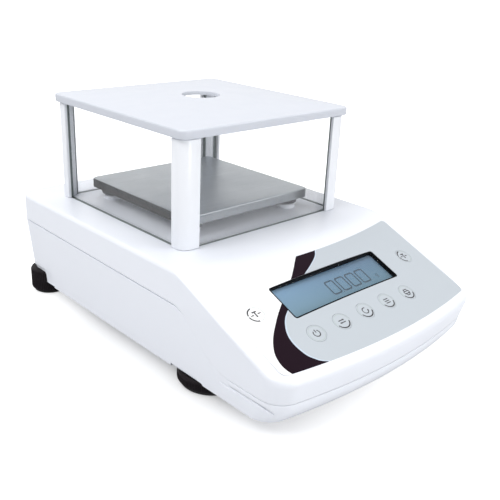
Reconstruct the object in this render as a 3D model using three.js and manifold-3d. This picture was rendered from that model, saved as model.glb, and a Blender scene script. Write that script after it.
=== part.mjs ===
// Precision balance with a square pan, a glass draught shield and a sloping key panel.
// Millimetres, +Z up, the front faces -Y. The origin lies on the bench, under the middle of the case.

import * as THREE from 'three';
import { mergeVertices } from 'three/addons/utils/BufferGeometryUtils.js';
import Module from 'manifold-3d';

const wasm = await Module();
wasm.setup();

// Case
const caseWidth = 212;
const caseDepth = 324;
const caseHeight = 75.5;
const benchGap = 11;
const wall = 2.4;
const floorThickness = 2.5;
const sideDraft = 4;
const backDraft = 3.5;
const topEdgeRadius = 3;
const backCornerRadius = 14;
const slopeCornerRadius = 8;
const noseCornerRadius = 17;
const noseRadius = 5;
const noseUndercutAngle = 15;
const lipTuck = 10.8;
const bowRadius = 512;

// Sloping panel
const panelAngle = 22.94;
const bendSetback = 93.7;
const overlaySetback = 6;
const overlayDepth = 78.4;
const overlayInset = 8;
const overlayCorner = 4;
const overlayThickness = 0.4;
const overlaySink = 0.1;

// Parting line between base and cover
const sideSeamDrop = 22.2;
const frontSeamRise = 18.2;
const seamRise = 0.7;
const seamFall = 2.2;
const seamTurnBack = 112;
const seamTurnFront = 58;
const seamGap = 0.8;
const lipHeight = 4;
const lipWall = 1.2;

// Display and keys
const windowSetback = 56;
const windowShift = -4.4;
const viewWidth = 107;
const viewDepth = 27;
const bezelBorder = 1;
const bezelDepth = 4;
const lensSink = 1.8;
const lensThickness = 1;
const keyRadius = 6.7;
const keyTravel = 0.4;
const keyRowSetback = 28.4;
const keyRowShift = -6.4;
const keyPitch = 24.2;
const tareSetback = 56.3;
const leftTareShare = 0.48;
const rightTareShare = 0.465;

// Draught shield
const frontDeckShare = 0.567;
const lidWidth = 168.4;
const lidRim = 6.4;
const lidPlate = 3;
const lidCrown = 4;
const lidCorner = 7;
const lidRimWidth = 4;
const lidEdge = 1.4;
const lidHoleRadius = 15;
const shieldHeight = 78.6;
const postInset = 2;
const postLeg = 15;
const postSideLeg = 13;
const postRadius = 8;
const postPinRadius = 2;
const postPinLength = 2;
const pegRadius = 2.4;
const pegHeight = 2;
const pinRoot = 1;
const glassThickness = 3;
const glassInset = 2.8;
const paneBite = 3;
const grooveDepth = 1.2;

// Weighing gear
const panGap = 11.4;
const panRise = 16.5;
const panFlange = 8;
const panSheet = 0.9;
const panCorner = 6.5;
const panEdge = 1.2;
const supportInset = 14;
const supportRadius = 4;
const supportHoleRadius = 6;
const supportBite = 4;
const padRadius = 7.5;
const padHeight = 11;
const padTaper = 2;
const padShoulder = 3;
const collarRadius = 9;
const collarHeight = 3;
const loadTravel = 0.2;
const loadCellLength = 120;
const loadCellWidth = 30;
const loadCellHeight = 22;
const blockHeight = 9;
const carrierPlate = 5;
const carrierLift = 6;
const armWidth = 12;

// Levelling feet
const frontFootRadius = 25;
const frontFootHeight = 8.6;
const backFootRadius = 16;
const backFootHeight = 18.5;
const footPadHeight = 2;
const footPadInset = 2;
const footStudRadius = 4;
const frontStudLength = 30;
const backStudLength = 20;
const footLift = 2;
const frontFootRibs = 20;
const backFootRibs = 16;
const ribDepth = 0.8;
const wheelEdge = 1;
const frontFootInset = 27.2;
const frontFootSetback = 100.4;
const backFootInset = 14.5;
const backFootSetback = 18;

// General clearances and cutting
const clearance = 0.3;
const overrun = 5;

const rad = THREE.MathUtils.degToRad;
const lerp = THREE.MathUtils.lerp;

// Places that follow from the driving sizes
const underside = benchGap;
const floorTop = underside + floorThickness;
const top = underside + caseHeight;
const front = -caseDepth / 2;
const back = caseDepth / 2;
const bowCentre = front + bowRadius;
const slope = Math.tan(rad(panelAngle));
const bendReach = bowRadius - bendSetback;
const bendSoft = topEdgeRadius / slope;
const sideSeam = top - sideSeamDrop;
const frontSeam = underside + frontSeamRise;
const deckRoom = caseDepth - bendSetback - lidWidth;
const shieldY = front + bendSetback + deckRoom * frontDeckShare + lidWidth / 2;
const lidTop = top + shieldHeight + lidRim;
const panTop = top + panRise;
const postFace = lidWidth / 2 - postInset;
const panWidth = 2 * (postFace - glassInset - glassThickness - panGap);
const supportOffset = panWidth / 2 - supportInset;
const overlayWidth = caseWidth - 2 * overlayInset;
const windowWidth = viewWidth + 2 * bezelBorder;
const windowDepth = viewDepth + 2 * bezelBorder;
const frontFootX = caseWidth / 2 - frontFootInset;
const backFootX = caseWidth / 2 - backFootInset;

const slopeHeight = (reach) => top - slope * (reach - bendReach);
const draftShare = (z) => Math.max(0, (sideSeam - z) / (sideSeam - underside));
const sideAt = (z) => caseWidth / 2 - sideDraft * draftShare(z);
const backAt = (z) => back - backDraft * draftShare(z);

// Solids and meshes

function solidOf(geometry) {
  const plain = geometry.index ? geometry.clone() : geometry;
  plain.deleteAttribute('normal');
  plain.deleteAttribute('uv');
  const merged = mergeVertices(plain);
  return new wasm.Manifold(new wasm.Mesh({
    numProp: 3,
    vertProperties: new Float32Array(merged.attributes.position.array),
    triVerts: new Uint32Array(merged.index.array),
  }));
}

function geometryOf(solid) {
  const raw = solid.getMesh();
  const geometry = new THREE.BufferGeometry();
  geometry.setAttribute('position', new THREE.BufferAttribute(new Float32Array(raw.vertProperties), 3));
  geometry.setIndex(new THREE.BufferAttribute(new Uint32Array(raw.triVerts), 1));
  geometry.computeVertexNormals();
  return geometry;
}

function piece(name, solid, color, roughness, metalness = 0) {
  const material = new THREE.MeshStandardMaterial({ color, roughness, metalness });
  const mesh = new THREE.Mesh(geometryOf(solid), material);
  mesh.name = name;
  return mesh;
}

function joined(solids) {
  return solids.reduce((sum, next) => sum.add(next));
}

function moved(solid, x, y, z) {
  return solidOf(geometryOf(solid).translate(x, y, z));
}

function box(x0, x1, y0, y1, z0, z1) {
  const geometry = new THREE.BoxGeometry(x1 - x0, y1 - y0, z1 - z0);
  geometry.translate((x0 + x1) / 2, (y0 + y1) / 2, (z0 + z1) / 2);
  return solidOf(geometry);
}

function rod(x, y, z0, z1, radius, sides = 20) {
  const geometry = new THREE.CylinderGeometry(radius, radius, z1 - z0, sides);
  geometry.rotateX(Math.PI / 2);
  geometry.translate(x, y, (z0 + z1) / 2);
  return solidOf(geometry);
}

function rodAlongY(x, z, y0, y1, radius, sides = 24) {
  const geometry = new THREE.CylinderGeometry(radius, radius, y1 - y0, sides);
  geometry.translate(x, (y0 + y1) / 2, z);
  return solidOf(geometry);
}

function rodAlongX(y, z, x0, x1, radius, sides = 24) {
  const geometry = new THREE.CylinderGeometry(radius, radius, x1 - x0, sides);
  geometry.rotateZ(Math.PI / 2);
  geometry.translate((x0 + x1) / 2, y, z);
  return solidOf(geometry);
}

// A turned piece: the profile is a list of [radius, height] that starts and ends on the axis
function turned(profile, sides = 32) {
  const points = profile.map(([radius, height]) => new THREE.Vector2(radius, height));
  const geometry = new THREE.LatheGeometry(points, sides);
  geometry.rotateX(Math.PI / 2);
  return solidOf(geometry);
}

function prism(points, z0, z1) {
  const geometry = new THREE.ExtrudeGeometry(new THREE.Shape(points),
    { depth: z1 - z0, bevelEnabled: false });
  geometry.translate(0, 0, z0);
  return solidOf(geometry);
}

// A profile in the YZ plane, run along X
function sideRun(points, x0, x1) {
  const geometry = new THREE.ExtrudeGeometry(new THREE.Shape(points),
    { depth: x1 - x0, bevelEnabled: false });
  geometry.translate(0, 0, x0);
  const turn = new THREE.Matrix4().makeBasis(
    new THREE.Vector3(0, 1, 0), new THREE.Vector3(0, 0, 1), new THREE.Vector3(1, 0, 0));
  geometry.applyMatrix4(turn);
  return solidOf(geometry);
}

// A skin over rings of equally many points. Rings run anticlockwise seen from above, from the lowest
// outward ring to the highest. An open stack gets a flat cap at each end, and a loop closes on itself.
function ringSolid(rings, loop = false) {
  const count = rings[0].length;
  const index = [];
  const last = loop ? rings.length : rings.length - 1;
  for (let row = 0; row < last; row++) {
    const low = row * count;
    const high = ((row + 1) % rings.length) * count;
    for (let i = 0; i < count; i++) {
      const next = (i + 1) % count;
      index.push(low + i, low + next, high + next);
      index.push(low + i, high + next, high + i);
    }
  }
  if (!loop) {
    const roof = (rings.length - 1) * count;
    for (let i = 1; i < count - 1; i++) {
      index.push(0, i + 1, i);
      index.push(roof, roof + i, roof + i + 1);
    }
  }
  const geometry = new THREE.BufferGeometry();
  const positions = new Float32Array(rings.flat(2));
  geometry.setAttribute('position', new THREE.BufferAttribute(positions, 3));
  geometry.setIndex(index);
  return solidOf(geometry);
}

// A ring round a square with round corners, centred on the shield
const cornerSteps = 4;
const cornerShare = 0.5;

function squareRing(half, radius, z) {
  const ring = [];
  for (let corner = 0; corner < 4; corner++) {
    const middle = rad(45 + 90 * corner);
    const cx = Math.sign(Math.cos(middle)) * (half - radius);
    const cy = Math.sign(Math.sin(middle)) * (half - radius);
    for (let step = 0; step <= cornerSteps; step++) {
      const angle = rad(90 * corner + 90 * step / cornerSteps);
      ring.push([cx + radius * Math.cos(angle), shieldY + cy + radius * Math.sin(angle), z]);
    }
  }
  return ring;
}

function roundRing(radius, z) {
  const ring = [];
  for (let corner = 0; corner < 4; corner++) {
    for (let step = 0; step <= cornerSteps; step++) {
      const angle = rad(45 + 90 * corner + 90 * (step - cornerSteps / 2) / (cornerSteps + 1));
      ring.push([radius * Math.cos(angle), shieldY + radius * Math.sin(angle), z]);
    }
  }
  return ring;
}

function blendRing(outer, inner, share, z) {
  return outer.map(([x, y], i) => [lerp(x, inner[i][0], share), lerp(y, inner[i][1], share), z]);
}

// Outer shape of the closed case: horizontal rings whose front edges are arcs about one common centre,
// so the sloping panel is part of a shallow cone
const bowSteps = 5;
const caseCornerSteps = 3;

function caseRing({ z, half, rear, reach, frontCorner, backCorner }) {
  const cornerX = half - frontCorner;
  const cornerY = bowCentre - Math.sqrt((reach - frontCorner) ** 2 - cornerX ** 2);
  const turn = Math.atan2(cornerX, bowCentre - cornerY);
  const right = [];
  for (let step = 0; step <= bowSteps; step++) {
    const angle = turn * step / bowSteps;
    right.push([reach * Math.sin(angle), bowCentre - reach * Math.cos(angle), z]);
  }
  for (let step = 1; step <= caseCornerSteps; step++) {
    const angle = lerp(turn, Math.PI / 2, step / caseCornerSteps);
    right.push([cornerX + frontCorner * Math.sin(angle), cornerY - frontCorner * Math.cos(angle), z]);
  }
  for (let step = 0; step <= caseCornerSteps; step++) {
    const angle = Math.PI / 2 * step / caseCornerSteps;
    right.push([half - backCorner + backCorner * Math.cos(angle),
      rear - backCorner + backCorner * Math.sin(angle), z]);
  }
  const left = right.slice(1).reverse().map(([x, y, height]) => [-x, y, height]);
  return [...right, ...left];
}

const edgeShares = [0, 0.25, 1];
const slopeShares = [0.5, 1];
const noseShares = [0.33, 0.67, 1];
const lipShares = [0.5, 1];
const leastCorner = 1;

function caseBody(inset = 0) {
  const levels = [];
  const corner = (radius) => Math.max(radius - inset, leastCorner);
  const add = (z, reach, pull, frontCorner) => levels.push({
    z,
    half: sideAt(z) - inset - pull,
    rear: backAt(z) - inset - pull,
    reach,
    frontCorner: corner(frontCorner - pull),
    backCorner: corner(backCornerRadius - pull),
  });
  const tilt = rad(panelAngle);
  for (const share of edgeShares) {
    const drop = topEdgeRadius * share;
    const pull = topEdgeRadius - Math.sqrt(topEdgeRadius ** 2 - (topEdgeRadius - drop) ** 2);
    const reach = bendReach + bendSoft * (2 * Math.sqrt(share) - 1);
    add(top - drop - inset * lerp(1, Math.cos(tilt), share), reach - inset * Math.sin(tilt) * share, pull,
      slopeCornerRadius);
  }
  const slopeStart = bendReach + bendSoft;
  const noseStart = bowRadius - noseRadius * (1 - Math.sin(tilt));
  for (const share of slopeShares) {
    const reach = lerp(slopeStart, noseStart, share);
    const frontCorner = lerp(slopeCornerRadius, noseCornerRadius, share ** 2);
    add(slopeHeight(reach) - inset * Math.cos(tilt), reach - inset * Math.sin(tilt), 0, frontCorner);
  }
  const noseCentreReach = bowRadius - noseRadius;
  const noseCentreZ = slopeHeight(noseStart) - noseRadius * Math.cos(tilt);
  const noseEnd = Math.PI / 2 + rad(noseUndercutAngle);
  const insideRadius = Math.max(noseRadius - inset, noseRadius / 10);
  for (const share of noseShares) {
    const angle = lerp(tilt, noseEnd, share);
    add(noseCentreZ + insideRadius * Math.cos(angle), noseCentreReach + insideRadius * Math.sin(angle), 0,
      noseCornerRadius);
  }
  const noseFoot = noseCentreReach + noseRadius * Math.sin(noseEnd);
  const noseFootZ = noseCentreZ + noseRadius * Math.cos(noseEnd);
  const seamReach = noseFoot - (noseFootZ - frontSeam) * Math.tan(rad(noseUndercutAngle)) - inset;
  add(frontSeam, seamReach, 0, noseCornerRadius);
  const bottom = inset > 0 ? floorTop : underside;
  for (const share of lipShares) {
    add(lerp(frontSeam, bottom, share), seamReach - lipTuck * share ** 2, 0, noseCornerRadius);
  }
  return ringSolid(levels.reverse().map(caseRing));
}

const caseSolid = caseBody();
const caseHollow = caseBody(wall);
const caseMidWall = caseBody(wall / 2);

// Everything under the parting line, raised or lowered by a shift
const seamSteps = 6;
const seamUpperShare = 0.4;
const seamLowerShare = 0.5;

function belowSeam(shift) {
  const turn = new THREE.CubicBezierCurve(
    new THREE.Vector2(front + seamTurnBack, sideSeam - seamFall + shift),
    new THREE.Vector2(front + lerp(seamTurnBack, seamTurnFront, seamUpperShare),
      sideSeam - seamFall + shift),
    new THREE.Vector2(front + lerp(seamTurnBack, seamTurnFront, seamLowerShare), frontSeam + shift),
    new THREE.Vector2(front + seamTurnFront, frontSeam + shift));
  const path = [
    new THREE.Vector2(back + overrun, sideSeam + seamRise + shift),
    ...turn.getPoints(seamSteps),
    new THREE.Vector2(front - overrun, frontSeam + shift),
    new THREE.Vector2(front - overrun, underside - overrun),
    new THREE.Vector2(back + overrun, underside - overrun),
  ];
  return sideRun(path, -caseWidth / 2 - overrun, caseWidth / 2 + overrun);
}

// Panel frame: its origin lies on the slope at the display's height, its z axis is square to the slope
const panelReach = bowRadius - windowSetback;
const panelOrigin = new THREE.Vector3(0, bowCentre - panelReach, slopeHeight(panelReach));
const panelFrame = new THREE.Matrix4().makeRotationX(rad(panelAngle)).setPosition(panelOrigin);

function onPanel(solid) {
  return solidOf(geometryOf(solid).applyMatrix4(panelFrame));
}

// How far the bowed slope lies under the flat panel plane at a place on it
function panelDrop(x, y) {
  const place = new THREE.Vector3(x, y, 0).applyMatrix4(panelFrame);
  const surface = slopeHeight(Math.hypot(place.x, bowCentre - place.y));
  return (place.z - surface) * Math.cos(rad(panelAngle));
}

const alongPanel = (setback) => (setback - windowSetback) / Math.cos(rad(panelAngle));

// The tare keys stand in the flanks between the display and the sides of the case
const windowLeft = windowShift - windowWidth / 2;
const windowRight = windowShift + windowWidth / 2;
const leftTareX = lerp(windowLeft, -caseWidth / 2, leftTareShare);
const rightTareX = lerp(windowRight, caseWidth / 2, rightTareShare);

const keyPlaces = [
  { name: 'tare_left', x: leftTareX, y: alongPanel(tareSetback) },
  { name: 'tare_right', x: rightTareX, y: alongPanel(tareSetback) },
  ...['power', 'unit', 'count', 'menu', 'print'].map((name, i) => ({
    name,
    x: keyRowShift + keyPitch * (i - 2),
    y: alongPanel(keyRowSetback),
  })),
];

// Outline of the overlay in plan, between two bows with round corners
const overlayOuterReach = bowRadius - overlaySetback;
const overlayInnerReach = overlayOuterReach - overlayDepth;
const overlaySteps = 8;

function overlayOutline(grow) {
  const half = overlayWidth / 2 + grow;
  const outer = overlayOuterReach + grow;
  const inner = overlayInnerReach - grow;
  const onBow = (reach, x) => new THREE.Vector2(x, bowCentre - Math.sqrt(reach ** 2 - x ** 2));
  const points = [];
  const corner = (start, tip, end) => {
    points.push(...new THREE.QuadraticBezierCurve(start, tip, end).getPoints(3));
  };
  const bow = (reach, from, to) => {
    for (let step = 1; step < overlaySteps; step++) {
      points.push(onBow(reach, lerp(from, to, step / overlaySteps)));
    }
  };
  const short = half - overlayCorner;
  const down = (point, length) => new THREE.Vector2(point.x, point.y + length);
  corner(down(onBow(outer, -half), overlayCorner), onBow(outer, -half), onBow(outer, -short));
  bow(outer, -short, short);
  corner(onBow(outer, short), onBow(outer, half), down(onBow(outer, half), overlayCorner));
  corner(down(onBow(inner, half), -overlayCorner), onBow(inner, half), onBow(inner, short));
  bow(inner, short, -short);
  corner(onBow(inner, -short), onBow(inner, -half), down(onBow(inner, -half), -overlayCorner));
  return points;
}

const overlayBed = overlaySink + overlayThickness + clearance;

function overlaySlab(grow, high, low) {
  const column = prism(overlayOutline(grow), underside, top + overrun);
  return column.intersect(moved(caseSolid, 0, 0, -high)).subtract(moved(caseSolid, 0, 0, -low));
}

const keyHoleRadius = keyRadius + clearance;

function keyHoles() {
  return joined(keyPlaces.map(({ x, y }) => rod(x, y, -caseHeight / 4, overrun, keyHoleRadius, 16)));
}

function windowColumn(width, depth, low, high) {
  return box(windowShift - width / 2, windowShift + width / 2, -depth / 2, depth / 2, low, high);
}

// Cover: the moulded upper shell, with collars for the pan supports and seats for the draught shield
const screwHeadRadius = 3.4;
const screwRadius = 1.5;
const screwBossRadius = 5;
const frontScrewInset = 36;
const frontScrewSetback = 27;
const backScrewInset = 14;
const backScrewSetback = 87;
const backSplitDrop = 36;
const screwReach = 9;
const vialInset = 13;
const vialSetback = 15;
const vialRadius = 7;
const vialHeight = 8;
const vialEdge = 1;
const vialCupWall = 1.8;
const boardBossRadius = 3;
const boardSink = 9;
const boardThickness = 1.6;
const boardMargin = 8;
const boardBack = 22;
const boardShoulder = -22;
const boardFront = -35;
const boardBossInset = 20;
const boardBossDrop = 5.5;
const boardLeft = leftTareX - boardMargin;
const boardRight = rightTareX + boardMargin;
const frontScrewX = caseWidth / 2 - frontScrewInset;
const backScrewX = caseWidth / 2 - backScrewInset;
const backScrewY = back - backScrewSetback;
const backBossTop = top - backSplitDrop;
const vialX = caseWidth / 2 - vialInset;
const vialY = back - vialSetback;
const grooveWidth = glassThickness + 2 * clearance;
const glassMiddle = postFace - glassInset - glassThickness / 2;
const frontPaneHalf = postFace - postLeg + paneBite;
const sidePaneHalf = postFace - postSideLeg + paneBite;

const quarters = [[-1, -1], [1, -1], [-1, 1], [1, 1]];
const quarterNames = ['front_left', 'front_right', 'back_left', 'back_right'];
const screwPlaces = [
  { x: -frontScrewX, y: front + frontScrewSetback, split: frontSeam },
  { x: frontScrewX, y: front + frontScrewSetback, split: frontSeam },
  { x: -backScrewX, y: backScrewY, split: backBossTop },
  { x: backScrewX, y: backScrewY, split: backBossTop },
];
const boardBossPlaces = [
  [boardLeft + boardBossInset, boardBack - boardBossDrop],
  [boardRight - boardBossInset, boardBack - boardBossDrop],
  [keyRowShift - 1.5 * keyPitch, boardFront + boardBossDrop],
  [keyRowShift + 1.5 * keyPitch, boardFront + boardBossDrop],
];

function paneGrooves() {
  const frontHalf = frontPaneHalf + clearance;
  const sideHalf = sidePaneHalf + clearance;
  const low = top - grooveDepth;
  const high = top + overrun;
  const grooves = [];
  for (const side of [-1, 1]) {
    const near = side * glassMiddle - grooveWidth / 2;
    const far = side * glassMiddle + grooveWidth / 2;
    grooves.push(box(near, far, shieldY - sideHalf, shieldY + sideHalf, low, high));
    grooves.push(box(-frontHalf, frontHalf, shieldY + near, shieldY + far, low, high));
  }
  return joined(grooves);
}

function makeCover() {
  const shell = caseSolid.subtract(belowSeam(seamGap / 2)).subtract(caseHollow);
  const screwBosses = screwPlaces.map(({ x, y, split }) => rod(
    x, y, split + clearance, top, screwBossRadius, 14));
  const boardBosses = boardBossPlaces.map(([x, y]) => onPanel(rod(
    x, y, clearance - boardSink, 0, boardBossRadius, 12)));
  const bosses = joined([...screwBosses, ...boardBosses]).intersect(caseMidWall);
  const collars = quarters.map(([sx, sy]) => rod(
    sx * supportOffset, shieldY + sy * supportOffset, top - wall / 2, top + collarHeight, collarRadius,
      20));
  const vialCup = rod(vialX, vialY, top - vialHeight - wall, top, vialRadius + vialCupWall,
    20).intersect(caseMidWall);
  const supportHoles = quarters.map(([sx, sy]) => rod(
    sx * supportOffset, shieldY + sy * supportOffset, top - wall - overrun, top + collarHeight + overrun,
      supportHoleRadius, 14));
  const pinHoles = quarters.map(([sx, sy]) => rod(
    sx * glassMiddle, shieldY + sy * glassMiddle, top - wall - overrun, top + overrun,
      postPinRadius + clearance, 8));
  const screwHoles = screwPlaces.map(({ x, y, split }) => rod(
    x, y, split - overrun, split + screwReach + clearance, screwRadius + clearance, 12));
  const bed = overlaySlab(clearance, -overrun, overlayBed);
  const window = windowColumn(windowWidth + 2 * clearance, windowDepth + 2 * clearance, -caseHeight / 4,
    overrun);
  return joined([shell, bosses, vialCup, ...collars])
    .subtract(joined([...supportHoles, ...pinHoles, ...screwHoles]))
    .subtract(paneGrooves())
    .subtract(rod(vialX, vialY, top - vialHeight - clearance, top + overrun, vialRadius + clearance, 20))
    .subtract(bed)
    .subtract(onPanel(keyHoles()))
    .subtract(onPanel(window));
}

// Base: the moulded lower shell with its floor, foot pockets, bosses and rear sockets
const pocketWall = 2.4;
const pocketRoom = 0.8;
const footBossRadius = 8;
const footBossHeight = 20;
const backPocketSideRoom = 25.5;
const backPocketFrontRoom = 27;
const frontNotchHalf = 17;
const stopBossRadius = 6;
const stopBossDrop = 4;
const stopRadius = 2.5;
const pocketAbove = (height) => footPadHeight + clearance + height + footLift + 2 * clearance;
const frontPocketRoof = pocketAbove(frontFootHeight);
const backPocketRoof = pocketAbove(backFootHeight);
const frontPocketRadius = frontFootRadius + pocketRoom;
const backPocketX = backFootX - backPocketSideRoom;
const backPocketY = back - backFootSetback - backPocketFrontRoom;
const loadCellLow = floorTop + clearance + blockHeight + clearance;
const loadCellTop = loadCellLow + loadCellHeight;
const loadCellBack = shieldY + loadCellLength / 2;
const loadCellFront = shieldY - loadCellLength / 2;
const boltRadius = 3;
const boltGap = 18;
const boltInset = 8;
const boardPostHeight = 5;
const boardPostRadius = 3;
const boardPostInset = 5;
const boardScrewGap = 15;
const mainBoardSetback = 26;
const mainBoardDepth = 58;
const mainBoardHalf = frontScrewX - boardScrewGap;
const mainBoardFront = front + mainBoardSetback;
const mainBoardBack = mainBoardFront + mainBoardDepth;
const inletX = -46;
const portX = 20;
const socketZ = 40;
const socketCut = 20;
const inletWidth = 14;
const inletHeight = 11;
const portWidth = 31;
const portHeight = 12.5;
const dimpleSink = 2;
const dimpleHeight = 1.6;
const dimpleDrop = 6;
const dimpleSetback = 20;
const dimpleLength = 45;
const dimpleLow = frontSeam - dimpleDrop;
const dimpleFront = front + dimpleSetback;
const dimpleBack = dimpleFront + dimpleLength;

const frontFootY = front + frontFootSetback;
const backFootY = back - backFootSetback;
const frontFoot = {
  radius: frontFootRadius, height: frontFootHeight, ribs: frontFootRibs, stud: frontStudLength,
    roof: frontPocketRoof,
};
const backFoot = {
  radius: backFootRadius, height: backFootHeight, ribs: backFootRibs, stud: backStudLength,
    roof: backPocketRoof,
};
const footPlaces = [
  { name: 'front_left', x: -frontFootX, y: frontFootY, kind: frontFoot },
  { name: 'front_right', x: frontFootX, y: frontFootY, kind: frontFoot },
  { name: 'back_left', x: -backFootX, y: backFootY, kind: backFoot },
  { name: 'back_right', x: backFootX, y: backFootY, kind: backFoot },
];
const boardPostPlaces = [
  [-mainBoardHalf + boardPostInset, mainBoardFront + boardPostInset],
  [mainBoardHalf - boardPostInset, mainBoardFront + boardPostInset],
  [-mainBoardHalf + boardPostInset, mainBoardBack - boardPostInset],
  [mainBoardHalf - boardPostInset, mainBoardBack - boardPostInset],
];

function makeBase() {
  const lip = caseBody(wall + clearance).intersect(belowSeam(lipHeight));
  const lipInside = caseBody(wall + clearance + lipWall).subtract(belowSeam(-2 * lipHeight));
  const hollow = caseHollow.intersect(belowSeam(-1.5 * lipHeight));
  const shell = caseSolid.intersect(belowSeam(-seamGap / 2)).add(lip).subtract(lipInside).subtract(hollow);

  const added = [];
  const removed = [];
  for (const { x, y, kind } of footPlaces) {
    added.push(rod(x, y, kind.roof, kind.roof + footBossHeight, footBossRadius, 16));
    removed.push(rod(x, y, kind.roof - overrun, kind.roof + footBossHeight + overrun,
      footStudRadius + clearance, 14));
    if (kind === frontFoot) {
      added.push(rod(x, y, underside, kind.roof + pocketWall, frontPocketRadius + pocketWall, 32));
      removed.push(rod(x, y, underside - overrun, kind.roof, frontPocketRadius, 32));
      const beyond = x + Math.sign(x) * caseWidth / 4;
      removed.push(box(Math.min(x, beyond), Math.max(x, beyond), y - frontNotchHalf, y + frontNotchHalf,
        underside - overrun, kind.roof));
    } else {
      const inner = Math.sign(x) * backPocketX;
      const outer = Math.sign(x) * (caseWidth / 2 + overrun);
      const lowX = Math.min(inner, outer);
      const highX = Math.max(inner, outer);
      added.push(box(lowX - pocketWall, highX + pocketWall, backPocketY - pocketWall, back + overrun,
        underside, kind.roof + pocketWall).intersect(caseMidWall.add(shell)));
      removed.push(box(lowX, highX, backPocketY, back + overrun, underside - overrun, kind.roof));
    }
  }
  for (const { x, y, split } of screwPlaces) {
    added.push(rod(x, y, underside, split, screwBossRadius, 14));
    removed.push(rod(x, y, underside - overrun, split + overrun, screwRadius + clearance, 12));
    removed.push(rod(x, y, underside - overrun, split - screwReach, screwHeadRadius + clearance, 14));
  }
  for (const [x, y] of boardPostPlaces) {
    added.push(rod(x, y, underside, floorTop + boardPostHeight, boardPostRadius, 10));
  }
  added.push(rod(0, loadCellFront + boltInset, underside, loadCellLow - stopBossDrop, stopBossRadius, 14));
  removed.push(rod(0, loadCellFront + boltInset, floorTop, loadCellLow, stopRadius + clearance, 12));
  removed.push(box(inletX - inletWidth / 2 - clearance, inletX + inletWidth / 2 + clearance,
    back - socketCut, back + overrun,
    socketZ - inletHeight / 2 - clearance, socketZ + inletHeight / 2 + clearance));
  removed.push(box(portX - portWidth / 2 - clearance, portX + portWidth / 2 + clearance, back - socketCut,
    back + overrun,
    socketZ - portHeight / 2 - clearance, socketZ + portHeight / 2 + clearance));
  for (const side of [-1, 1]) {
    const face = side * (sideAt(dimpleLow) - dimpleSink);
    const beyond = side * (caseWidth / 2 + overrun);
    removed.push(box(Math.min(face, beyond), Math.max(face, beyond), dimpleFront, dimpleBack,
      dimpleLow, dimpleLow + dimpleHeight));
  }
  const inside = joined(added).intersect(caseSolid);
  return shell.add(inside).subtract(joined(removed));
}

// Overlay, bezel and window of the display
function makeOverlay() {
  const sheet = overlaySlab(0, overlaySink, overlaySink + overlayThickness);
  const window = windowColumn(windowWidth + 2 * clearance, windowDepth + 2 * clearance, -caseHeight / 4,
    overrun);
  return sheet.subtract(onPanel(keyHoles())).subtract(onPanel(window));
}

function makeBezel() {
  const frame = windowColumn(windowWidth, windowDepth, -bezelDepth, overrun)
    .subtract(windowColumn(viewWidth, viewDepth, -caseHeight / 4, 2 * overrun));
  return onPanel(frame).intersect(moved(caseSolid, 0, 0, -overlaySink));
}

function makeWindow() {
  return windowColumn(viewWidth - 2 * clearance, viewDepth - 2 * clearance, -lensSink - lensThickness,
    -lensSink);
}

const lcdBorder = 1.6;
const lcdTop = -bezelDepth - clearance;
const lcdLow = clearance - boardSink;

function makeLcd() {
  return windowColumn(viewWidth + 2 * lcdBorder, viewDepth + 2 * lcdBorder, lcdLow, lcdTop);
}

function makeKeypadBoard() {
  const low = -boardSink - boardThickness;
  const tongueLeft = keyRowShift - 2 * keyPitch - boardMargin;
  const tongueRight = keyRowShift + 2 * keyPitch + boardMargin;
  return box(boardLeft, boardRight, boardShoulder, boardBack, low, -boardSink)
    .add(box(tongueLeft, tongueRight, boardFront, boardShoulder + overrun, low, -boardSink));
}

// Keys: a round cap that follows the slope, with a stem down to its switch
const keyRise = 0.5;
const keyCrown = 0.3;
const keyBelow = 1;
const stemRadius = 1.8;
const switchSide = 6;
const switchTop = 5.5;
const plungerHeight = 0.6;
const plungerRadius = 1.7;
const keySlack = keyTravel + clearance;

function makeKey({ x, y }) {
  const cap = geometryOf(turned([
    [0, -keyBelow], [keyRadius, -keyBelow], [keyRadius, keyRise - keyCrown],
    [keyRadius - 2 * keyCrown, keyRise], [0, keyRise + keyCrown],
  ], 16));
  const place = new THREE.Vector3(x, y, 0).applyMatrix4(panelFrame);
  const bearing = Math.atan2(place.x, bowCentre - place.y);
  const up = new THREE.Vector3(slope * Math.sin(bearing), -slope * Math.cos(bearing), 1).normalize();
  up.transformDirection(panelFrame.clone().invert());
  cap.applyQuaternion(new THREE.Quaternion().setFromUnitVectors(new THREE.Vector3(0, 0, 1), up));
  cap.translate(x, y, -panelDrop(x, y));
  const stem = rod(x, y, plungerHeight + keySlack - switchTop, -panelDrop(x, y) - keyBelow / 2, stemRadius,
    10);
  return solidOf(cap).add(stem);
}

function makeSwitch({ x, y }) {
  const half = switchSide / 2;
  const body = box(x - half, x + half, y - half, y + half, clearance - boardSink, -switchTop);
  return body.add(rod(x, y, -switchTop - plungerHeight, plungerHeight - switchTop, plungerRadius, 10));
}

// Weighing pan: a pressed steel tray turned down at its edges
function makePan() {
  const half = panWidth / 2;
  const soft = panEdge;
  const ring = (inset, z) => squareRing(half - inset, panCorner - inset * cornerShare, panTop + z);
  return ringSolid([
    ring(half / 4, -panSheet),
    ring(panSheet + soft, -panSheet),
    ring(panSheet, -panSheet - soft / 2),
    ring(panSheet, -panFlange),
    ring(0, -panFlange),
    ring(0, -soft),
    ring(soft / 4, -soft / 4),
    ring(soft, 0),
    ring(half / 4, 0),
  ]);
}

// Pan carrier: a cast cross on the free end of the load cell, with four supports up through the cover
const carrierLow = loadCellTop + clearance;
const plateLow = carrierLow + carrierLift;
const supportTop = panTop - panSheet - clearance - padHeight + supportBite;

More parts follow.
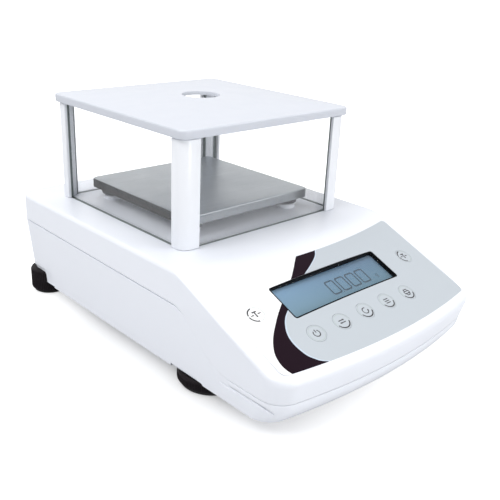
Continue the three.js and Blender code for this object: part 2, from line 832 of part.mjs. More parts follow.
function makeCarrier() {
  const seat = box(-loadCellWidth / 2, loadCellWidth / 2, loadCellFront, loadCellFront + boltInset * 2,
    carrierLow, plateLow + carrierPlate);
  const spineHalf = supportOffset + armWidth / 2;
  const spine = box(-loadCellWidth / 2, loadCellWidth / 2, shieldY - spineHalf, shieldY + spineHalf,
    plateLow, plateLow + carrierPlate);
  const bars = [-1, 1].map((side) => box(-supportOffset - armWidth / 2, supportOffset + armWidth / 2,
    shieldY + side * supportOffset - armWidth / 2, shieldY + side * supportOffset + armWidth / 2,
    plateLow, plateLow + carrierPlate));
  const supports = quarters.map(([sx, sy]) => rod(
    sx * supportOffset, shieldY + sy * supportOffset, plateLow, supportTop, supportRadius, 16));
  const boltHoles = [-1, 1].map((side) => rod(side * boltGap / 2, loadCellFront + boltInset,
    carrierLow - overrun, plateLow + carrierPlate + overrun, boltRadius + clearance, 12));
  return joined([seat, spine, ...bars, ...supports]).subtract(joined(boltHoles));
}

function makePad([sx, sy]) {
  const high = panTop - panSheet - clearance;
  const low = high - padHeight;
  const pad = turned([[0, low], [padRadius, low], [padRadius, high - padShoulder],
    [padRadius - padTaper, high],
    [0, high]], 20);
  const socket = rod(0, 0, low - overrun, supportTop + clearance, supportRadius + clearance, 16);
  return moved(pad.subtract(socket), sx * supportOffset, shieldY + sy * supportOffset, 0);
}

// Load cell: an aluminium bar with a double bore, and the block that fixes its rear end to the floor
const boreShare = 0.36;
const blockHoleFloor = 1;
const boltTipGap = 2;

function makeLoadCell() {
  const bar = box(-loadCellWidth / 2, loadCellWidth / 2, loadCellFront, loadCellBack, loadCellLow,
    loadCellTop);
  const middle = (loadCellLow + loadCellTop) / 2;
  const reach = loadCellWidth / 2 + overrun;
  const boreRadius = loadCellHeight * boreShare;
  const bores = [-1, 1].map((side) => rodAlongX(
    shieldY + side * loadCellHeight / 2, middle, -reach, reach, boreRadius, 18));
  const slot = box(-reach, reach, shieldY - loadCellHeight / 2, shieldY + loadCellHeight / 2,
    middle - boreRadius / 2, middle + boreRadius / 2);
  const holes = [];
  for (const side of [-1, 1]) {
    for (const y of [loadCellFront + boltInset, loadCellBack - boltInset]) {
      holes.push(rod(side * boltGap / 2, y, loadCellLow - overrun, loadCellTop + overrun,
        boltRadius + clearance, 12));
    }
  }
  return bar.subtract(joined([...bores, slot, ...holes]));
}

function makeLoadCellBlock() {
  const low = floorTop + clearance;
  const block = box(-loadCellWidth / 2, loadCellWidth / 2, loadCellBack - 2 * boltInset, loadCellBack, low,
    low + blockHeight);
  const holes = [-1, 1].map((side) => rod(side * boltGap / 2, loadCellBack - boltInset,
    low + blockHoleFloor, low + blockHeight + overrun, boltRadius + clearance, 12));
  return block.subtract(joined(holes));
}

const boltHeadRadius = 5;
const boltHeadHeight = 5;
const boltSocketRadius = 2.4;

function makeBolt(x, y, tip, seat) {
  const bolt = turned([[0, tip], [boltRadius, tip], [boltRadius, seat], [boltHeadRadius, seat],
    [boltHeadRadius, seat + boltHeadHeight], [0, seat + boltHeadHeight]], 14);
  const socket = rod(0, 0, seat + boltHeadHeight / 2, seat + boltHeadHeight + overrun, boltSocketRadius, 6);
  return moved(bolt.subtract(socket), x, y, 0);
}

const stopHeadRadius = 4;
const stopHeadHeight = 2;

function makeOverloadStop() {
  const high = loadCellLow - loadTravel - clearance;
  const low = floorTop + clearance;
  return moved(turned([[0, low], [stopRadius, low], [stopRadius, high - stopHeadHeight],
    [stopHeadRadius, high - stopHeadHeight], [stopHeadRadius, high], [0, high]], 14), 0,
      loadCellFront + boltInset, 0);
}

// Circuit boards and the flat cable between them
const mainBoardLow = floorTop + boardPostHeight + clearance;
const mainBoardTop = mainBoardLow + boardThickness;

const partInset = 14;
const canInset = 15;
const canWidth = 28;
const canHeight = 5;
const chipSide = 14;
const chipHeight = 1.6;
const plugInset = 9;
const plugWidth = 20;
const plugDepth = 8;
const plugHeight = 7;

function makeMainBoard() {
  const board = box(-mainBoardHalf, mainBoardHalf, mainBoardFront, mainBoardBack, mainBoardLow,
    mainBoardTop);
  const coverOver = (x0, x1, y0, y1, height) => box(x0, x1, y0, y1, mainBoardTop - boardThickness / 2,
    mainBoardTop + height);
  const canLeft = canInset - mainBoardHalf;
  const plugRight = mainBoardHalf - plugInset;
  const screenCan = coverOver(canLeft, canLeft + canWidth, mainBoardFront + partInset,
    mainBoardBack - partInset, canHeight);
  const chip = coverOver(0, chipSide, mainBoardFront + partInset, mainBoardFront + partInset + chipSide,
    chipHeight);
  const plug = coverOver(plugRight - plugWidth, plugRight, mainBoardFront + partInset,
    mainBoardFront + partInset + plugDepth, plugHeight);
  return joined([board, screenCan, chip, plug]);
}

const ribbonWidth = 16;
const ribbonThickness = 0.5;
const ribbonX = 14;
const ribbonStart = -8;
const ribbonInset = 8;

function makeRibbon() {
  const start = new THREE.Vector3(0, ribbonStart,
    -boardSink - boardThickness - clearance).applyMatrix4(panelFrame);
  const end = new THREE.Vector2(mainBoardBack - ribbonInset, mainBoardTop + clearance);
  const sag = (start.z - end.y) / 2;
  const route = new THREE.CubicBezierCurve(
    new THREE.Vector2(start.y, start.z), new THREE.Vector2(start.y + sag / 2, start.z - sag),
    new THREE.Vector2(end.x, end.y + sag), end);
  const near = [];
  const far = [];
  const steps = 8;
  for (let step = 0; step <= steps; step++) {
    const point = route.getPoint(step / steps);
    const run = route.getTangent(step / steps);
    const offset = new THREE.Vector2(-run.y, run.x).multiplyScalar(ribbonThickness / 2);
    near.push(point.clone().add(offset));
    far.unshift(point.clone().sub(offset));
  }
  return sideRun([...near, ...far], ribbonX - ribbonWidth / 2, ribbonX + ribbonWidth / 2);
}

// Rear sockets
const socketDepth = 13;
const jackRadius = 3.2;
const jackDepthShare = 0.7;

function makeInlet() {
  const outer = backAt(socketZ) - clearance;
  const half = inletWidth / 2;
  const body = box(inletX - half, inletX + half, outer - socketDepth, outer, socketZ - inletHeight / 2,
    socketZ + inletHeight / 2);
  const mouth = rodAlongY(inletX, socketZ, outer - socketDepth * jackDepthShare, outer + overrun,
    jackRadius, 18);
  return body.subtract(mouth);
}

const portWellHalf = 8.5;
const portWellHeight = 8.4;
const portTaper = 1.2;

function makePort() {
  const outer = backAt(socketZ) - clearance;
  const half = portWidth / 2;
  const body = box(portX - half, portX + half, outer - socketDepth, outer, socketZ - portHeight / 2,
    socketZ + portHeight / 2);
  const high = portWellHeight / 2;
  const well = new THREE.Shape([
    new THREE.Vector2(-portWellHalf + portTaper, -high), new THREE.Vector2(portWellHalf - portTaper, -high),
    new THREE.Vector2(portWellHalf, high), new THREE.Vector2(-portWellHalf, high),
  ]);
  const geometry = new THREE.ExtrudeGeometry(well, { depth: socketDepth, bevelEnabled: false });
  geometry.rotateX(Math.PI / 2);
  geometry.translate(portX, outer + socketDepth / 2, socketZ);
  return body.subtract(solidOf(geometry));
}

function makeVial() {
  return moved(turned([[0, -vialHeight], [vialRadius, -vialHeight], [vialRadius, 0],
    [vialRadius - vialEdge, clearance],
    [0, clearance]], 20), vialX, vialY, top);
}

// Case screws, driven up through the base into the cover
const screwHeadHeight = 2.4;
const crossHalf = 0.5;
const crossReach = 2;

function makeCaseScrew({ x, y, split }) {
  const seat = split - screwReach - clearance;
  const screw = turned([[0, seat - screwHeadHeight], [screwHeadRadius, seat - screwHeadHeight],
    [screwHeadRadius, seat],
    [screwRadius, seat], [screwRadius, split + screwReach], [0, split + screwReach]], 12);
  const low = seat - screwHeadHeight - overrun;
  const high = seat - screwHeadHeight / 2;
  const cross = box(-crossHalf, crossHalf, -crossReach, crossReach, low, high)
    .add(box(-crossReach, crossReach, -crossHalf, crossHalf, low, high));
  return moved(screw.subtract(cross), x, y, 0);
}

// Draught shield: corner posts, glass panes and a crowned lid with a round hole
const postTop = top + shieldHeight - clearance;
const postFoot = top + clearance;
const rebateDepth = paneBite + clearance;

function makePost([sx, sy]) {
  const face = postFace;
  const legEnd = face - postLeg;
  const sideLegEnd = face - postSideLeg;
  const rebateOut = face - glassInset + clearance;
  const rebateIn = face - glassInset - glassThickness - clearance;
  const outline = [[legEnd, face], [legEnd, rebateOut]];
  outline.push([legEnd + rebateDepth, rebateOut], [legEnd + rebateDepth, rebateIn]);
  outline.push([rebateIn, sideLegEnd + rebateDepth], [rebateOut, sideLegEnd + rebateDepth]);
  outline.push([rebateOut, sideLegEnd], [face, sideLegEnd]);
  const steps = 5;
  for (let step = 0; step <= steps; step++) {
    const angle = Math.PI / 2 * step / steps;
    outline.push([face - postRadius + postRadius * Math.cos(angle),
      face - postRadius + postRadius * Math.sin(angle)]);
  }
  const points = outline.map(([x, y]) => new THREE.Vector2(sx * x, shieldY + sy * y));
  const column = prism(points, postFoot, postTop);
  const pin = rod(sx * glassMiddle, shieldY + sy * glassMiddle, top - postPinLength, postFoot + pinRoot,
    postPinRadius, 8);
  const peg = rod(sx * rebateIn, shieldY + sy * rebateIn, postTop - pinRoot, postTop + pegHeight,
    pegRadius, 10);
  return joined([column, pin, peg]);
}

function makePane(alongX, side) {
  const low = top - grooveDepth + clearance;
  const high = postTop - clearance;
  const near = side * glassMiddle - glassThickness / 2;
  const far = side * glassMiddle + glassThickness / 2;
  if (alongX) {
    return box(-frontPaneHalf, frontPaneHalf, shieldY + near, shieldY + far, low, high);
  }
  return box(near, far, shieldY - sidePaneHalf, shieldY + sidePaneHalf, low, high);
}

function makeLid() {
  const half = lidWidth / 2;
  const low = lidTop - lidRim;
  const soft = lidEdge;
  const square = (inset) => squareRing(half - inset, lidCorner - inset * cornerShare, 0);
  const hole = roundRing(lidHoleRadius, 0);
  const rimInside = squareRing(half - lidRimWidth, lidCorner - lidRimWidth * cornerShare, 0);
  const rise = (share) => lidCrown * (1 - (1 - share) ** 2);
  const flat = (ring, z) => ring.map(([x, y]) => [x, y, z]);
  const crownShares = [0.3, 0.6, 0.9];
  const edgeShare = 0.3;
  const holeTop = lidTop + lidCrown;
  const rings = [
    flat(square(soft / 2), low),
    flat(square(0), low + soft / 2),
    flat(square(0), lidTop - soft),
    flat(square(soft * edgeShare), lidTop - soft * edgeShare),
    flat(square(soft), lidTop),
    ...crownShares.map((share) => blendRing(square(soft), hole, share, lidTop + rise(share))),
    flat(hole, holeTop - soft / 4),
    flat(hole, holeTop - lidPlate),
    ...[...crownShares].reverse().map((share) => blendRing(rimInside, hole, share,
      lidTop - lidPlate + rise(share))),
    flat(rimInside, lidTop - lidPlate),
    flat(rimInside, low),
  ];
  return ringSolid(rings, true);
}

// Levelling feet: a ribbed thumb wheel on a threaded stud, over a rubber pad
const ribShares = [[0, 0], [0.55, 0], [0.77, 1]];

function makeWheel({ x, y, kind }) {
  const low = footPadHeight + clearance;
  const points = [];
  const radius = kind.radius - wheelEdge;
  for (let rib = 0; rib < kind.ribs; rib++) {
    for (const [turnShare, sinkShare] of ribShares) {
      const angle = 2 * Math.PI * (rib + turnShare) / kind.ribs;
      const reach = radius - ribDepth * sinkShare;
      points.push(new THREE.Vector2(reach * Math.cos(angle), reach * Math.sin(angle)));
    }
  }
  const geometry = new THREE.ExtrudeGeometry(new THREE.Shape(points), {
    depth: kind.height - 2 * wheelEdge, bevelEnabled: true, bevelSegments: 1, bevelSize: wheelEdge,
      bevelThickness: wheelEdge,
  });
  geometry.translate(0, 0, low + wheelEdge);
  const stud = rod(0, 0, low + kind.height / 2, low + kind.height + kind.stud, footStudRadius, 14);
  return moved(solidOf(geometry).add(stud), x, y, 0);
}

function makeFootPad({ x, y, kind }) {
  const radius = kind.radius - footPadInset;
  return moved(turned([[0, 0], [radius - footPadHeight / 2, 0], [radius, footPadHeight / 2],
    [radius, footPadHeight], [0, footPadHeight]], 24), x, y, 0);
}

// Assembly
const white = 0xf2f4f7;
const dark = 0x2b2529;

const balance = new THREE.Group();

const casing = new THREE.Group();
casing.add(piece('base_shell', makeBase(), white, 0.42));
casing.add(piece('top_cover', makeCover(), white, 0.38));
casing.add(piece('front_overlay', makeOverlay(), 0xcfd8dd, 0.5));
casing.add(piece('display_bezel', makeBezel(), 0x1c1a1d, 0.5));
casing.add(piece('level_vial', makeVial(), 0xb8d96a, 0.2));
screwPlaces.forEach((place, i) => {
  casing.add(piece(`case_screw_${i + 1}`, makeCaseScrew(place), 0xb4b6b8, 0.35, 1));
});
balance.add(casing);

const panel = new THREE.Group();
panel.position.copy(panelOrigin);
panel.rotation.x = rad(panelAngle);
panel.add(piece('display_window', makeWindow(), 0xdfe9ee, 0.1));
panel.add(piece('lcd_panel', makeLcd(), 0x7f95ad, 0.3));
panel.add(piece('keypad_board', makeKeypadBoard(), 0x1f6b45, 0.5));
for (const place of keyPlaces) {
  panel.add(piece(`key_${place.name}`, makeKey(place), 0xd5dee2, 0.5));
  panel.add(piece(`switch_${place.name}`, makeSwitch(place), 0x303033, 0.5));
}
balance.add(panel);

const electronics = new THREE.Group();
electronics.add(piece('main_board', makeMainBoard(), 0x1f6b45, 0.5));
electronics.add(piece('display_ribbon', makeRibbon(), 0xc9c9c4, 0.6));
electronics.add(piece('power_inlet', makeInlet(), dark, 0.5));
electronics.add(piece('data_port', makePort(), 0x9a9da1, 0.35, 1));
balance.add(electronics);

const weighing = new THREE.Group();
weighing.add(piece('weighing_pan', makePan(), 0xb9bcbd, 0.35, 1));
weighing.add(piece('pan_carrier', makeCarrier(), 0xa9acb0, 0.5, 1));
quarters.forEach((quarter, i) => {
  weighing.add(piece(`pan_pad_${quarterNames[i]}`, makePad(quarter), 0x1b1b1d, 0.8));
});
weighing.add(piece('load_cell', makeLoadCell(), 0xb7babd, 0.4, 1));
weighing.add(piece('load_cell_block', makeLoadCellBlock(), 0x9da0a4, 0.5, 1));
weighing.add(piece('overload_stop', makeOverloadStop(), 0xb4b6b8, 0.35, 1));
for (const [side, hand] of [[-1, 'left'], [1, 'right']]) {
  const x = side * boltGap / 2;
  weighing.add(piece(`load_cell_bolt_${hand}`,
    makeBolt(x, loadCellBack - boltInset, floorTop + clearance + boltTipGap, loadCellTop + clearance),
      0x8d9094, 0.35, 1));
  weighing.add(piece(`carrier_bolt_${hand}`,
    makeBolt(x, loadCellFront + boltInset, loadCellLow + boltTipGap, plateLow + carrierPlate + clearance),
      0x8d9094, 0.35, 1));
}
balance.add(weighing);

const shield = new THREE.Group();
shield.add(piece('shield_lid', makeLid(), 0xe6eaf0, 0.35));
quarters.forEach((quarter, i) => {
  shield.add(piece(`shield_post_${quarterNames[i]}`, makePost(quarter), white, 0.35));
});
shield.add(piece('glass_front', makePane(true, -1), 0xe8f0ee, 0.05));
shield.add(piece('glass_back', makePane(true, 1), 0xe8f0ee, 0.05));
shield.add(piece('glass_left', makePane(false, -1), 0xe8f0ee, 0.05));
shield.add(piece('glass_right', makePane(false, 1), 0xe8f0ee, 0.05));
balance.add(shield);

const feet = new THREE.Group();
for (const place of footPlaces) {
  feet.add(piece(`foot_wheel_${place.name}`, makeWheel(place), dark, 0.55));
  feet.add(piece(`foot_pad_${place.name}`, makeFootPad(place), 0x151416, 0.85));
}
balance.add(feet);

export default balance;
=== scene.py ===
# Precision balance with a square pan, a glass draught shield and a sloping key panel.
# The pieces follow in the order in which the balance is put together. Sizes are in millimetres and
# become metres where a mesh is made; +X is the operator's right, -Y the front, +Z up.

import math

import bmesh
import bpy
import numpy as np
from mathutils import Matrix, Vector


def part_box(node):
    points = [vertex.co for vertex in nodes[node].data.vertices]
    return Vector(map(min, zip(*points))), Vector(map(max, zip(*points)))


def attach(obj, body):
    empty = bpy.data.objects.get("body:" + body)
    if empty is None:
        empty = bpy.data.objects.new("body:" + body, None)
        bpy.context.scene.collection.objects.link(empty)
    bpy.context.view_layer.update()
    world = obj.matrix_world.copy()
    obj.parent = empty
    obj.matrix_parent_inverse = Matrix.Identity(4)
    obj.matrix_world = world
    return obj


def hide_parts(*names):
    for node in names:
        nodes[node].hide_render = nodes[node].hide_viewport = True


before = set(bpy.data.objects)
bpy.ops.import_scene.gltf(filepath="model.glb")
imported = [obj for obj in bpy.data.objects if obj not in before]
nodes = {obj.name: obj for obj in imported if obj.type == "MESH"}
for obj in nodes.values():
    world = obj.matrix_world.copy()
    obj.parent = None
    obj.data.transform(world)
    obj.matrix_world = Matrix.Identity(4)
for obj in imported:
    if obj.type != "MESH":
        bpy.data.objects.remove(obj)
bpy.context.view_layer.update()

# Camera: the photograph's eye, about half a metre from the front left corner, a little above the lid.
# Turn is from straight ahead towards +X, dip is below the horizon, roll is clockwise.
eye = Vector((-0.3639, -0.3878, 0.2712))
eye_turn = 0.7705
eye_dip = 0.3795
eye_roll = -0.0448
focal_share = 710.5 / 500

forward = Vector((
    math.sin(eye_turn) * math.cos(eye_dip),
    math.cos(eye_turn) * math.cos(eye_dip),
    -math.sin(eye_dip),
))
level_right = Vector((math.cos(eye_turn), -math.sin(eye_turn), 0))
level_down = forward.cross(level_right)
image_right = math.cos(eye_roll) * level_right + math.sin(eye_roll) * level_down
image_down = math.cos(eye_roll) * level_down - math.sin(eye_roll) * level_right

camera_data = bpy.data.cameras.new("photo_camera")
camera_data.sensor_width = 36
camera_data.lens = camera_data.sensor_width * focal_share
camera_data.clip_start = 0.01
camera_data.clip_end = 100
camera = bpy.data.objects.new("photo_camera", camera_data)
turned_axes = Matrix((image_right, -image_down, -forward)).transposed()
camera.matrix_world = Matrix.Translation(eye) @ turned_axes.to_4x4()
bpy.context.scene.collection.objects.link(camera)
bpy.context.scene.camera = camera
bpy.context.scene.view_settings.view_transform = "Standard"

# Light: a pale light tent. The room lights evenly, and four round lamps stand in it: a broad one to the
# front right, one high at the back, one high on the left and a low one in front.


def add_lamp(name, place, aim, size, watts):
    lamp_data = bpy.data.lights.new(name, "AREA")
    lamp_data.shape = "DISK"
    lamp_data.size = size
    lamp_data.energy = watts
    lamp = bpy.data.objects.new(name, lamp_data)
    lamp.location = place
    lamp.rotation_euler = (Vector(aim) - Vector(place)).to_track_quat("-Z", "Y").to_euler()
    bpy.context.scene.collection.objects.link(lamp)


add_lamp("lamp_front_right", (1.0, -1.5, 1.1), (0, 0, 0.08), 1.3, 11.5)
add_lamp("lamp_top", (-0.1, 0.5, 1.9), (0, 0, 0.05), 1.6, 16)
add_lamp("lamp_left", (-1.12, 0.05, 1.4), (0, 0.05, 0.08), 0.9, 13)
add_lamp("lamp_front", (0.15, -1.9, 0.13), (0, -0.05, 0.06), 0.8, 10.5)


def set_inputs(tree, node, inputs):
    """Each input takes a value, another node's output, or another node, for its first output."""
    for socket, value in inputs.items():
        if isinstance(value, bpy.types.Node):
            value = value.outputs[0]
        if isinstance(value, bpy.types.NodeSocket):
            tree.links.new(value, node.inputs[socket])
        else:
            node.inputs[socket].default_value = value


def add_node(tree, kind, inputs=None, **settings):
    node = tree.nodes.new(kind)
    for setting, value in settings.items():
        setattr(node, setting, value)
    set_inputs(tree, node, inputs or {})
    return node


def value_node(tree, operation, first, second, held=False):
    settings = {"operation": operation, "use_clamp": held}
    return add_node(tree, "ShaderNodeMath", {0: first, 1: second}, **settings).outputs[0]


room_light = 0.505
tent_white = (1.0, 1.0, 1.0, 1.0)
world = bpy.data.worlds.new("light_tent")
bpy.context.scene.world = world
world.use_nodes = True
tent_tree = world.node_tree
tent_tree.nodes.clear()
rays = add_node(tent_tree, "ShaderNodeLightPath").outputs
looked_at = value_node(tent_tree, "MAXIMUM", rays["Is Camera Ray"], rays["Is Glossy Ray"])
looked_at = value_node(tent_tree, "MAXIMUM", looked_at, rays["Is Transmission Ray"])
tent = add_node(tent_tree, "ShaderNodeBackground", {"Color": tent_white, "Strength": room_light})
seen = add_node(tent_tree, "ShaderNodeBackground", {"Color": tent_white, "Strength": 1.0})
tent_mix = add_node(tent_tree, "ShaderNodeMixShader", {"Fac": looked_at, 1: tent, 2: seen})
add_node(tent_tree, "ShaderNodeOutputWorld", {"Surface": tent_mix})

# Bench: a plain white laminate top, on which the balance simply stands. A glow that only the camera sees is
# painted light. It fades the bench into the white of the tent away from a centre left of the balance, and
# so it also lightens the balance's shadow, most in front and to the right.


def mesh_object(name, points, faces, scale=0.001):
    mesh = bpy.data.meshes.new(name)
    mesh.from_pydata([(x * scale, y * scale, z * scale) for x, y, z in points], [], faces)
    mesh.validate()
    thing = bpy.data.objects.new(name, mesh)
    bpy.context.scene.collection.objects.link(thing)
    return thing


def bare_material(name):
    """A material without nodes yet, and its tree."""
    material = bpy.data.materials.new(name)
    material.use_nodes = True
    material.node_tree.nodes.clear()
    return material, material.node_tree


def place_on(tree):
    return add_node(tree, "ShaderNodeTexCoord").outputs["Object"]


def ranged(tree, value, low, high, start=0.3, end=0.7):
    """Runs from low to high while the value runs from start to end."""
    limits = {"From Min": start, "From Max": end, "To Min": low, "To Max": high}
    return add_node(tree, "ShaderNodeMapRange", {"Value": value, **limits}).outputs["Result"]


bench_half = 15.0
bench_white = (0.70, 0.705, 0.715, 1.0)
painted_glow_centre = (-0.17, -0.02, 0)
near_glow, far_glow = 0.3, 0.95
near_reach, far_reach = 0.1, 0.3
bench_square = [(-bench_half, -bench_half, 0), (bench_half, -bench_half, 0),
                (bench_half, bench_half, 0), (-bench_half, bench_half, 0)]
bench = mesh_object("bench", bench_square, [(0, 1, 2, 3)], scale=1)
laminate, bench_tree = bare_material("bench_laminate")
places = {0: place_on(bench_tree), 1: painted_glow_centre}
away = add_node(bench_tree, "ShaderNodeVectorMath", places, operation="DISTANCE")
# Painted light: a glow for camera rays only, weak near its centre and strong away from it.
glow = ranged(bench_tree, away.outputs["Value"], near_glow, far_glow, near_reach, far_reach)
bench_rays = add_node(bench_tree, "ShaderNodeLightPath").outputs
glow = value_node(bench_tree, "MULTIPLY", bench_rays["Is Camera Ray"], glow)
bench_face = add_node(bench_tree, "ShaderNodeBsdfDiffuse", {"Color": bench_white})
bench_shine = add_node(bench_tree, "ShaderNodeEmission", {"Color": tent_white, "Strength": glow})
bench_sum = add_node(bench_tree, "ShaderNodeAddShader", {0: bench_face, 1: bench_shine})
add_node(bench_tree, "ShaderNodeOutputMaterial", {"Surface": bench_sum})
bench.data.materials.append(laminate)

# Lower case half: an injection moulded white shell with the floor, the foot pockets and the sockets'
# openings. Its fine outer skin is drawn from the same bows and levels as the solid, and the ribs and
# bosses inside are the solid's own.
case_half = 106
case_rear = 162
case_top = 86.5
case_under = 11
side_seam = 64.3
front_seam = 29.2
side_draft = 4
rear_draft = 3.5
edge_radius = 3
bow_middle = 350
bow_reach = 512
bend_reach = 418.3
panel_tilt = math.radians(22.94)
panel_slope = math.tan(panel_tilt)
nose_radius = 5
nose_undercut = math.radians(15)
slope_corner = 8
nose_corner = 17
rear_corner = 14
lip_tuck = 10.8
under_radius = 0.5
skin = 1.0
shield_low, shield_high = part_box("shield_lid")
shield_y = (shield_low[1] + shield_high[1]) * 500
side_stations = np.linspace(-161, 147, 110)


def slope_height(reach):
    return case_top - panel_slope * (reach - bend_reach)


def case_levels():
    """The case from its top edge down: height, half width, rear, bow reach, front and rear corner."""
    levels = []

    def add(height, reach, pull, front_corner):
        draft = max(0.0, (side_seam - height) / (side_seam - case_under))
        levels.append((
            height,
            case_half - side_draft * draft - pull,
            case_rear - rear_draft * draft - pull,
            reach,
            max(front_corner - pull, 1),
            rear_corner - pull,
        ))

    bend_soft = edge_radius / panel_slope
    for share in np.linspace(0, 1, 11):
        drop = edge_radius * share
        pull = edge_radius - math.sqrt(edge_radius ** 2 - (edge_radius - drop) ** 2)
        add(case_top - drop, bend_reach + bend_soft * (2 * math.sqrt(share) - 1), pull, slope_corner)
    slope_start = bend_reach + bend_soft
    nose_start = bow_reach - nose_radius * (1 - math.sin(panel_tilt))
    for share in np.linspace(0, 1, 31)[1:]:
        reach = slope_start + (nose_start - slope_start) * share
        add(slope_height(reach), reach, 0, slope_corner + (nose_corner - slope_corner) * share ** 2)
    nose_reach = bow_reach - nose_radius
    nose_height = slope_height(nose_start) - nose_radius * math.cos(panel_tilt)
    nose_end = math.pi / 2 + nose_undercut
    for share in np.linspace(0, 1, 11)[1:]:
        angle = panel_tilt + (nose_end - panel_tilt) * share
        height = nose_height + nose_radius * math.cos(angle)
        add(height, nose_reach + nose_radius * math.sin(angle), 0, nose_corner)
    foot_reach = nose_reach + nose_radius * math.sin(nose_end)
    foot_height = nose_height + nose_radius * math.cos(nose_end)
    seam_reach = foot_reach - (foot_height - front_seam) * math.tan(nose_undercut)
    for share in np.linspace(0, 1, 7)[1:]:
        height = foot_height + (front_seam - foot_height) * share
        add(height, foot_reach + (seam_reach - foot_reach) * share, 0, nose_corner)
    lip_foot = case_under + under_radius
    for share in np.linspace(0, 1, 13)[1:]:
        height = front_seam + (lip_foot - front_seam) * share
        tuck = lip_tuck * ((front_seam - height) / (front_seam - case_under)) ** 2
        add(height, seam_reach - tuck, 0, nose_corner)
    last_reach = levels[-1][3]
    for share in np.linspace(0, 1, 6)[1:]:
        angle = math.pi / 2 * share
        pull = under_radius * (1 - math.cos(angle))
        add(lip_foot - under_radius * math.sin(angle), last_reach - 1.6 * pull, pull, nose_corner)
    return levels


def case_ring(height, half, rear, reach, front_corner, back_corner):
    corner_x = half - front_corner
    corner_y = bow_middle - math.sqrt((reach - front_corner) ** 2 - corner_x ** 2)
    turn = math.atan2(corner_x, bow_middle - corner_y)
    right = []
    for angle in np.linspace(0, turn, 25):
        right.append((reach * math.sin(angle), bow_middle - reach * math.cos(angle), height))
    for angle in np.linspace(turn, math.pi / 2, 13)[1:]:
        right.append((corner_x + front_corner * math.sin(angle),
                      corner_y - front_corner * math.cos(angle), height))
    for y in np.clip(side_stations, corner_y, rear - back_corner):
        right.append((half, y, height))
    for angle in np.linspace(0, math.pi / 2, 13):
        right.append((half - back_corner + back_corner * math.cos(angle),
                      rear - back_corner + back_corner * math.sin(angle), height))
    for share in np.linspace(0, 1, 9)[1:]:
        right.append(((half - back_corner) * (1 - share), rear, height))
    left = [(-x, y, z) for x, y, z in reversed(right[1:-1])]
    return right + left


def seam_heights(y):
    """Height of the parting line at each place along the side."""
    share = np.linspace(0, 1, 200)
    turn_back, turn_front = -50.0, -104.0
    upper = turn_back + 0.4 * (turn_front - turn_back)
    lower = turn_back + 0.5 * (turn_front - turn_back)
    path_y = ((1 - share) ** 3 * turn_back + 3 * (1 - share) ** 2 * share * upper
              + 3 * (1 - share) * share ** 2 * lower + share ** 3 * turn_front)
    path_z = (((1 - share) ** 3 + 3 * (1 - share) ** 2 * share) * (side_seam - 2.2)
              + (3 * (1 - share) * share ** 2 + share ** 3) * front_seam)
    return np.interp(y, [*path_y[::-1], 167], [*path_z[::-1], side_seam + 0.7])


def seam_half_gap(y):
    """Half the width of the parting line: it closes up where it runs down towards the nose."""
    return np.interp(y, [-106, -100, -64, -52], [0.2, 0.04, 0.04, 0.5])


case_grid = np.array([case_ring(*level) for level in case_levels()])
flat_shares = (0.006, 0.016)


def skin_faces(rows, count):
    """The faces between neighbouring rows of points, each row closed on itself."""
    faces = []
    for start in range(0, (rows - 1) * count, count):
        for column in range(count):
            following = (column + 1) % count
            faces.append((start + column, start + count + column,
                          start + count + following, start + following))
    return faces


def case_skin(name, above):
    """Outer skin above or below the parting line, with a flat middle, as an open mesh."""
    count = case_grid.shape[1]
    gap = seam_half_gap(case_grid[:, :, 1]) * (1 if above else -1)
    excess = case_grid[:, :, 2] - seam_heights(case_grid[:, :, 1]) - gap
    grid = case_grid.copy()
    for column in range(count):
        crossing = int(np.argmax(excess[:, column] < 0))
        before, after = excess[crossing - 1, column], excess[crossing, column]
        share = before / (before - after)
        edge = case_grid[crossing - 1, column] * (1 - share) + case_grid[crossing, column] * share
        if above:
            grid[crossing:, column] = edge
        else:
            grid[:crossing, column] = edge
    cap_row = grid[0] if above else grid[-1]
    middle = np.array([0, shield_y if above else 0, cap_row[0, 2]])
    inner = [cap_row + (middle - cap_row) * share for share in flat_shares]
    inner = [np.column_stack([ring[:, :2], np.full(count, cap_row[0, 2])]) for ring in inner]
    stack = [inner[1], inner[0], *grid] if above else [*grid, inner[0], inner[1]]
    faces = skin_faces(len(stack), count)
    cap_start = 0 if above else (len(stack) - 1) * count
    cap = tuple(cap_start + column for column in range(count))
    faces.append(cap if above else tuple(reversed(cap)))
    shell = mesh_object(name, np.concatenate(stack), faces)
    merge_close(shell.data)
    return shell


def merge_close(mesh, distance=0.00001):
    work = bmesh.new()
    work.from_mesh(mesh)
    bmesh.ops.remove_doubles(work, verts=work.verts, dist=distance)
    bmesh.ops.dissolve_degenerate(work, edges=work.edges, dist=distance)
    work.to_mesh(mesh)
    work.free()


def bake_modifiers(thing):
    bpy.context.view_layer.update()
    done = bpy.data.meshes.new_from_object(thing.evaluated_get(bpy.context.evaluated_depsgraph_get()))
    old = thing.data
    thing.modifiers.clear()
    thing.data = done
    bpy.data.meshes.remove(old)


def drop_object(thing):
    mesh = thing.data
    bpy.data.objects.remove(thing)
    bpy.data.meshes.remove(mesh)


def join_into(target, others):
    """One mesh from several, each keeping its own material by name."""
    work = bmesh.new()
    slots = list(target.data.materials)
    work.from_mesh(target.data)
    for other in others:
        part = other.data.copy()
        numbers = []
        for material in other.data.materials:
            if material not in slots:
                slots.append(material)
            numbers.append(slots.index(material))
        if numbers:
            for polygon in part.polygons:
                polygon.material_index = numbers[min(polygon.material_index, len(numbers) - 1)]
        work.from_mesh(part)
        bpy.data.meshes.remove(part)
        drop_object(other)
    target.data.materials.clear()
    for material in slots:
        target.data.materials.append(material)
    work.to_mesh(target.data)
    work.free()


def carve(thing, cutter, operation="DIFFERENCE"):
    tool = thing.modifiers.new("carve", "BOOLEAN")
    tool.operation = operation
    tool.solver = "EXACT"
    tool.object = cutter
    bake_modifiers(thing)


def cut_out(thing, cutters):
    for cutter in cutters:
        carve(thing, cutter)
        drop_object(cutter)


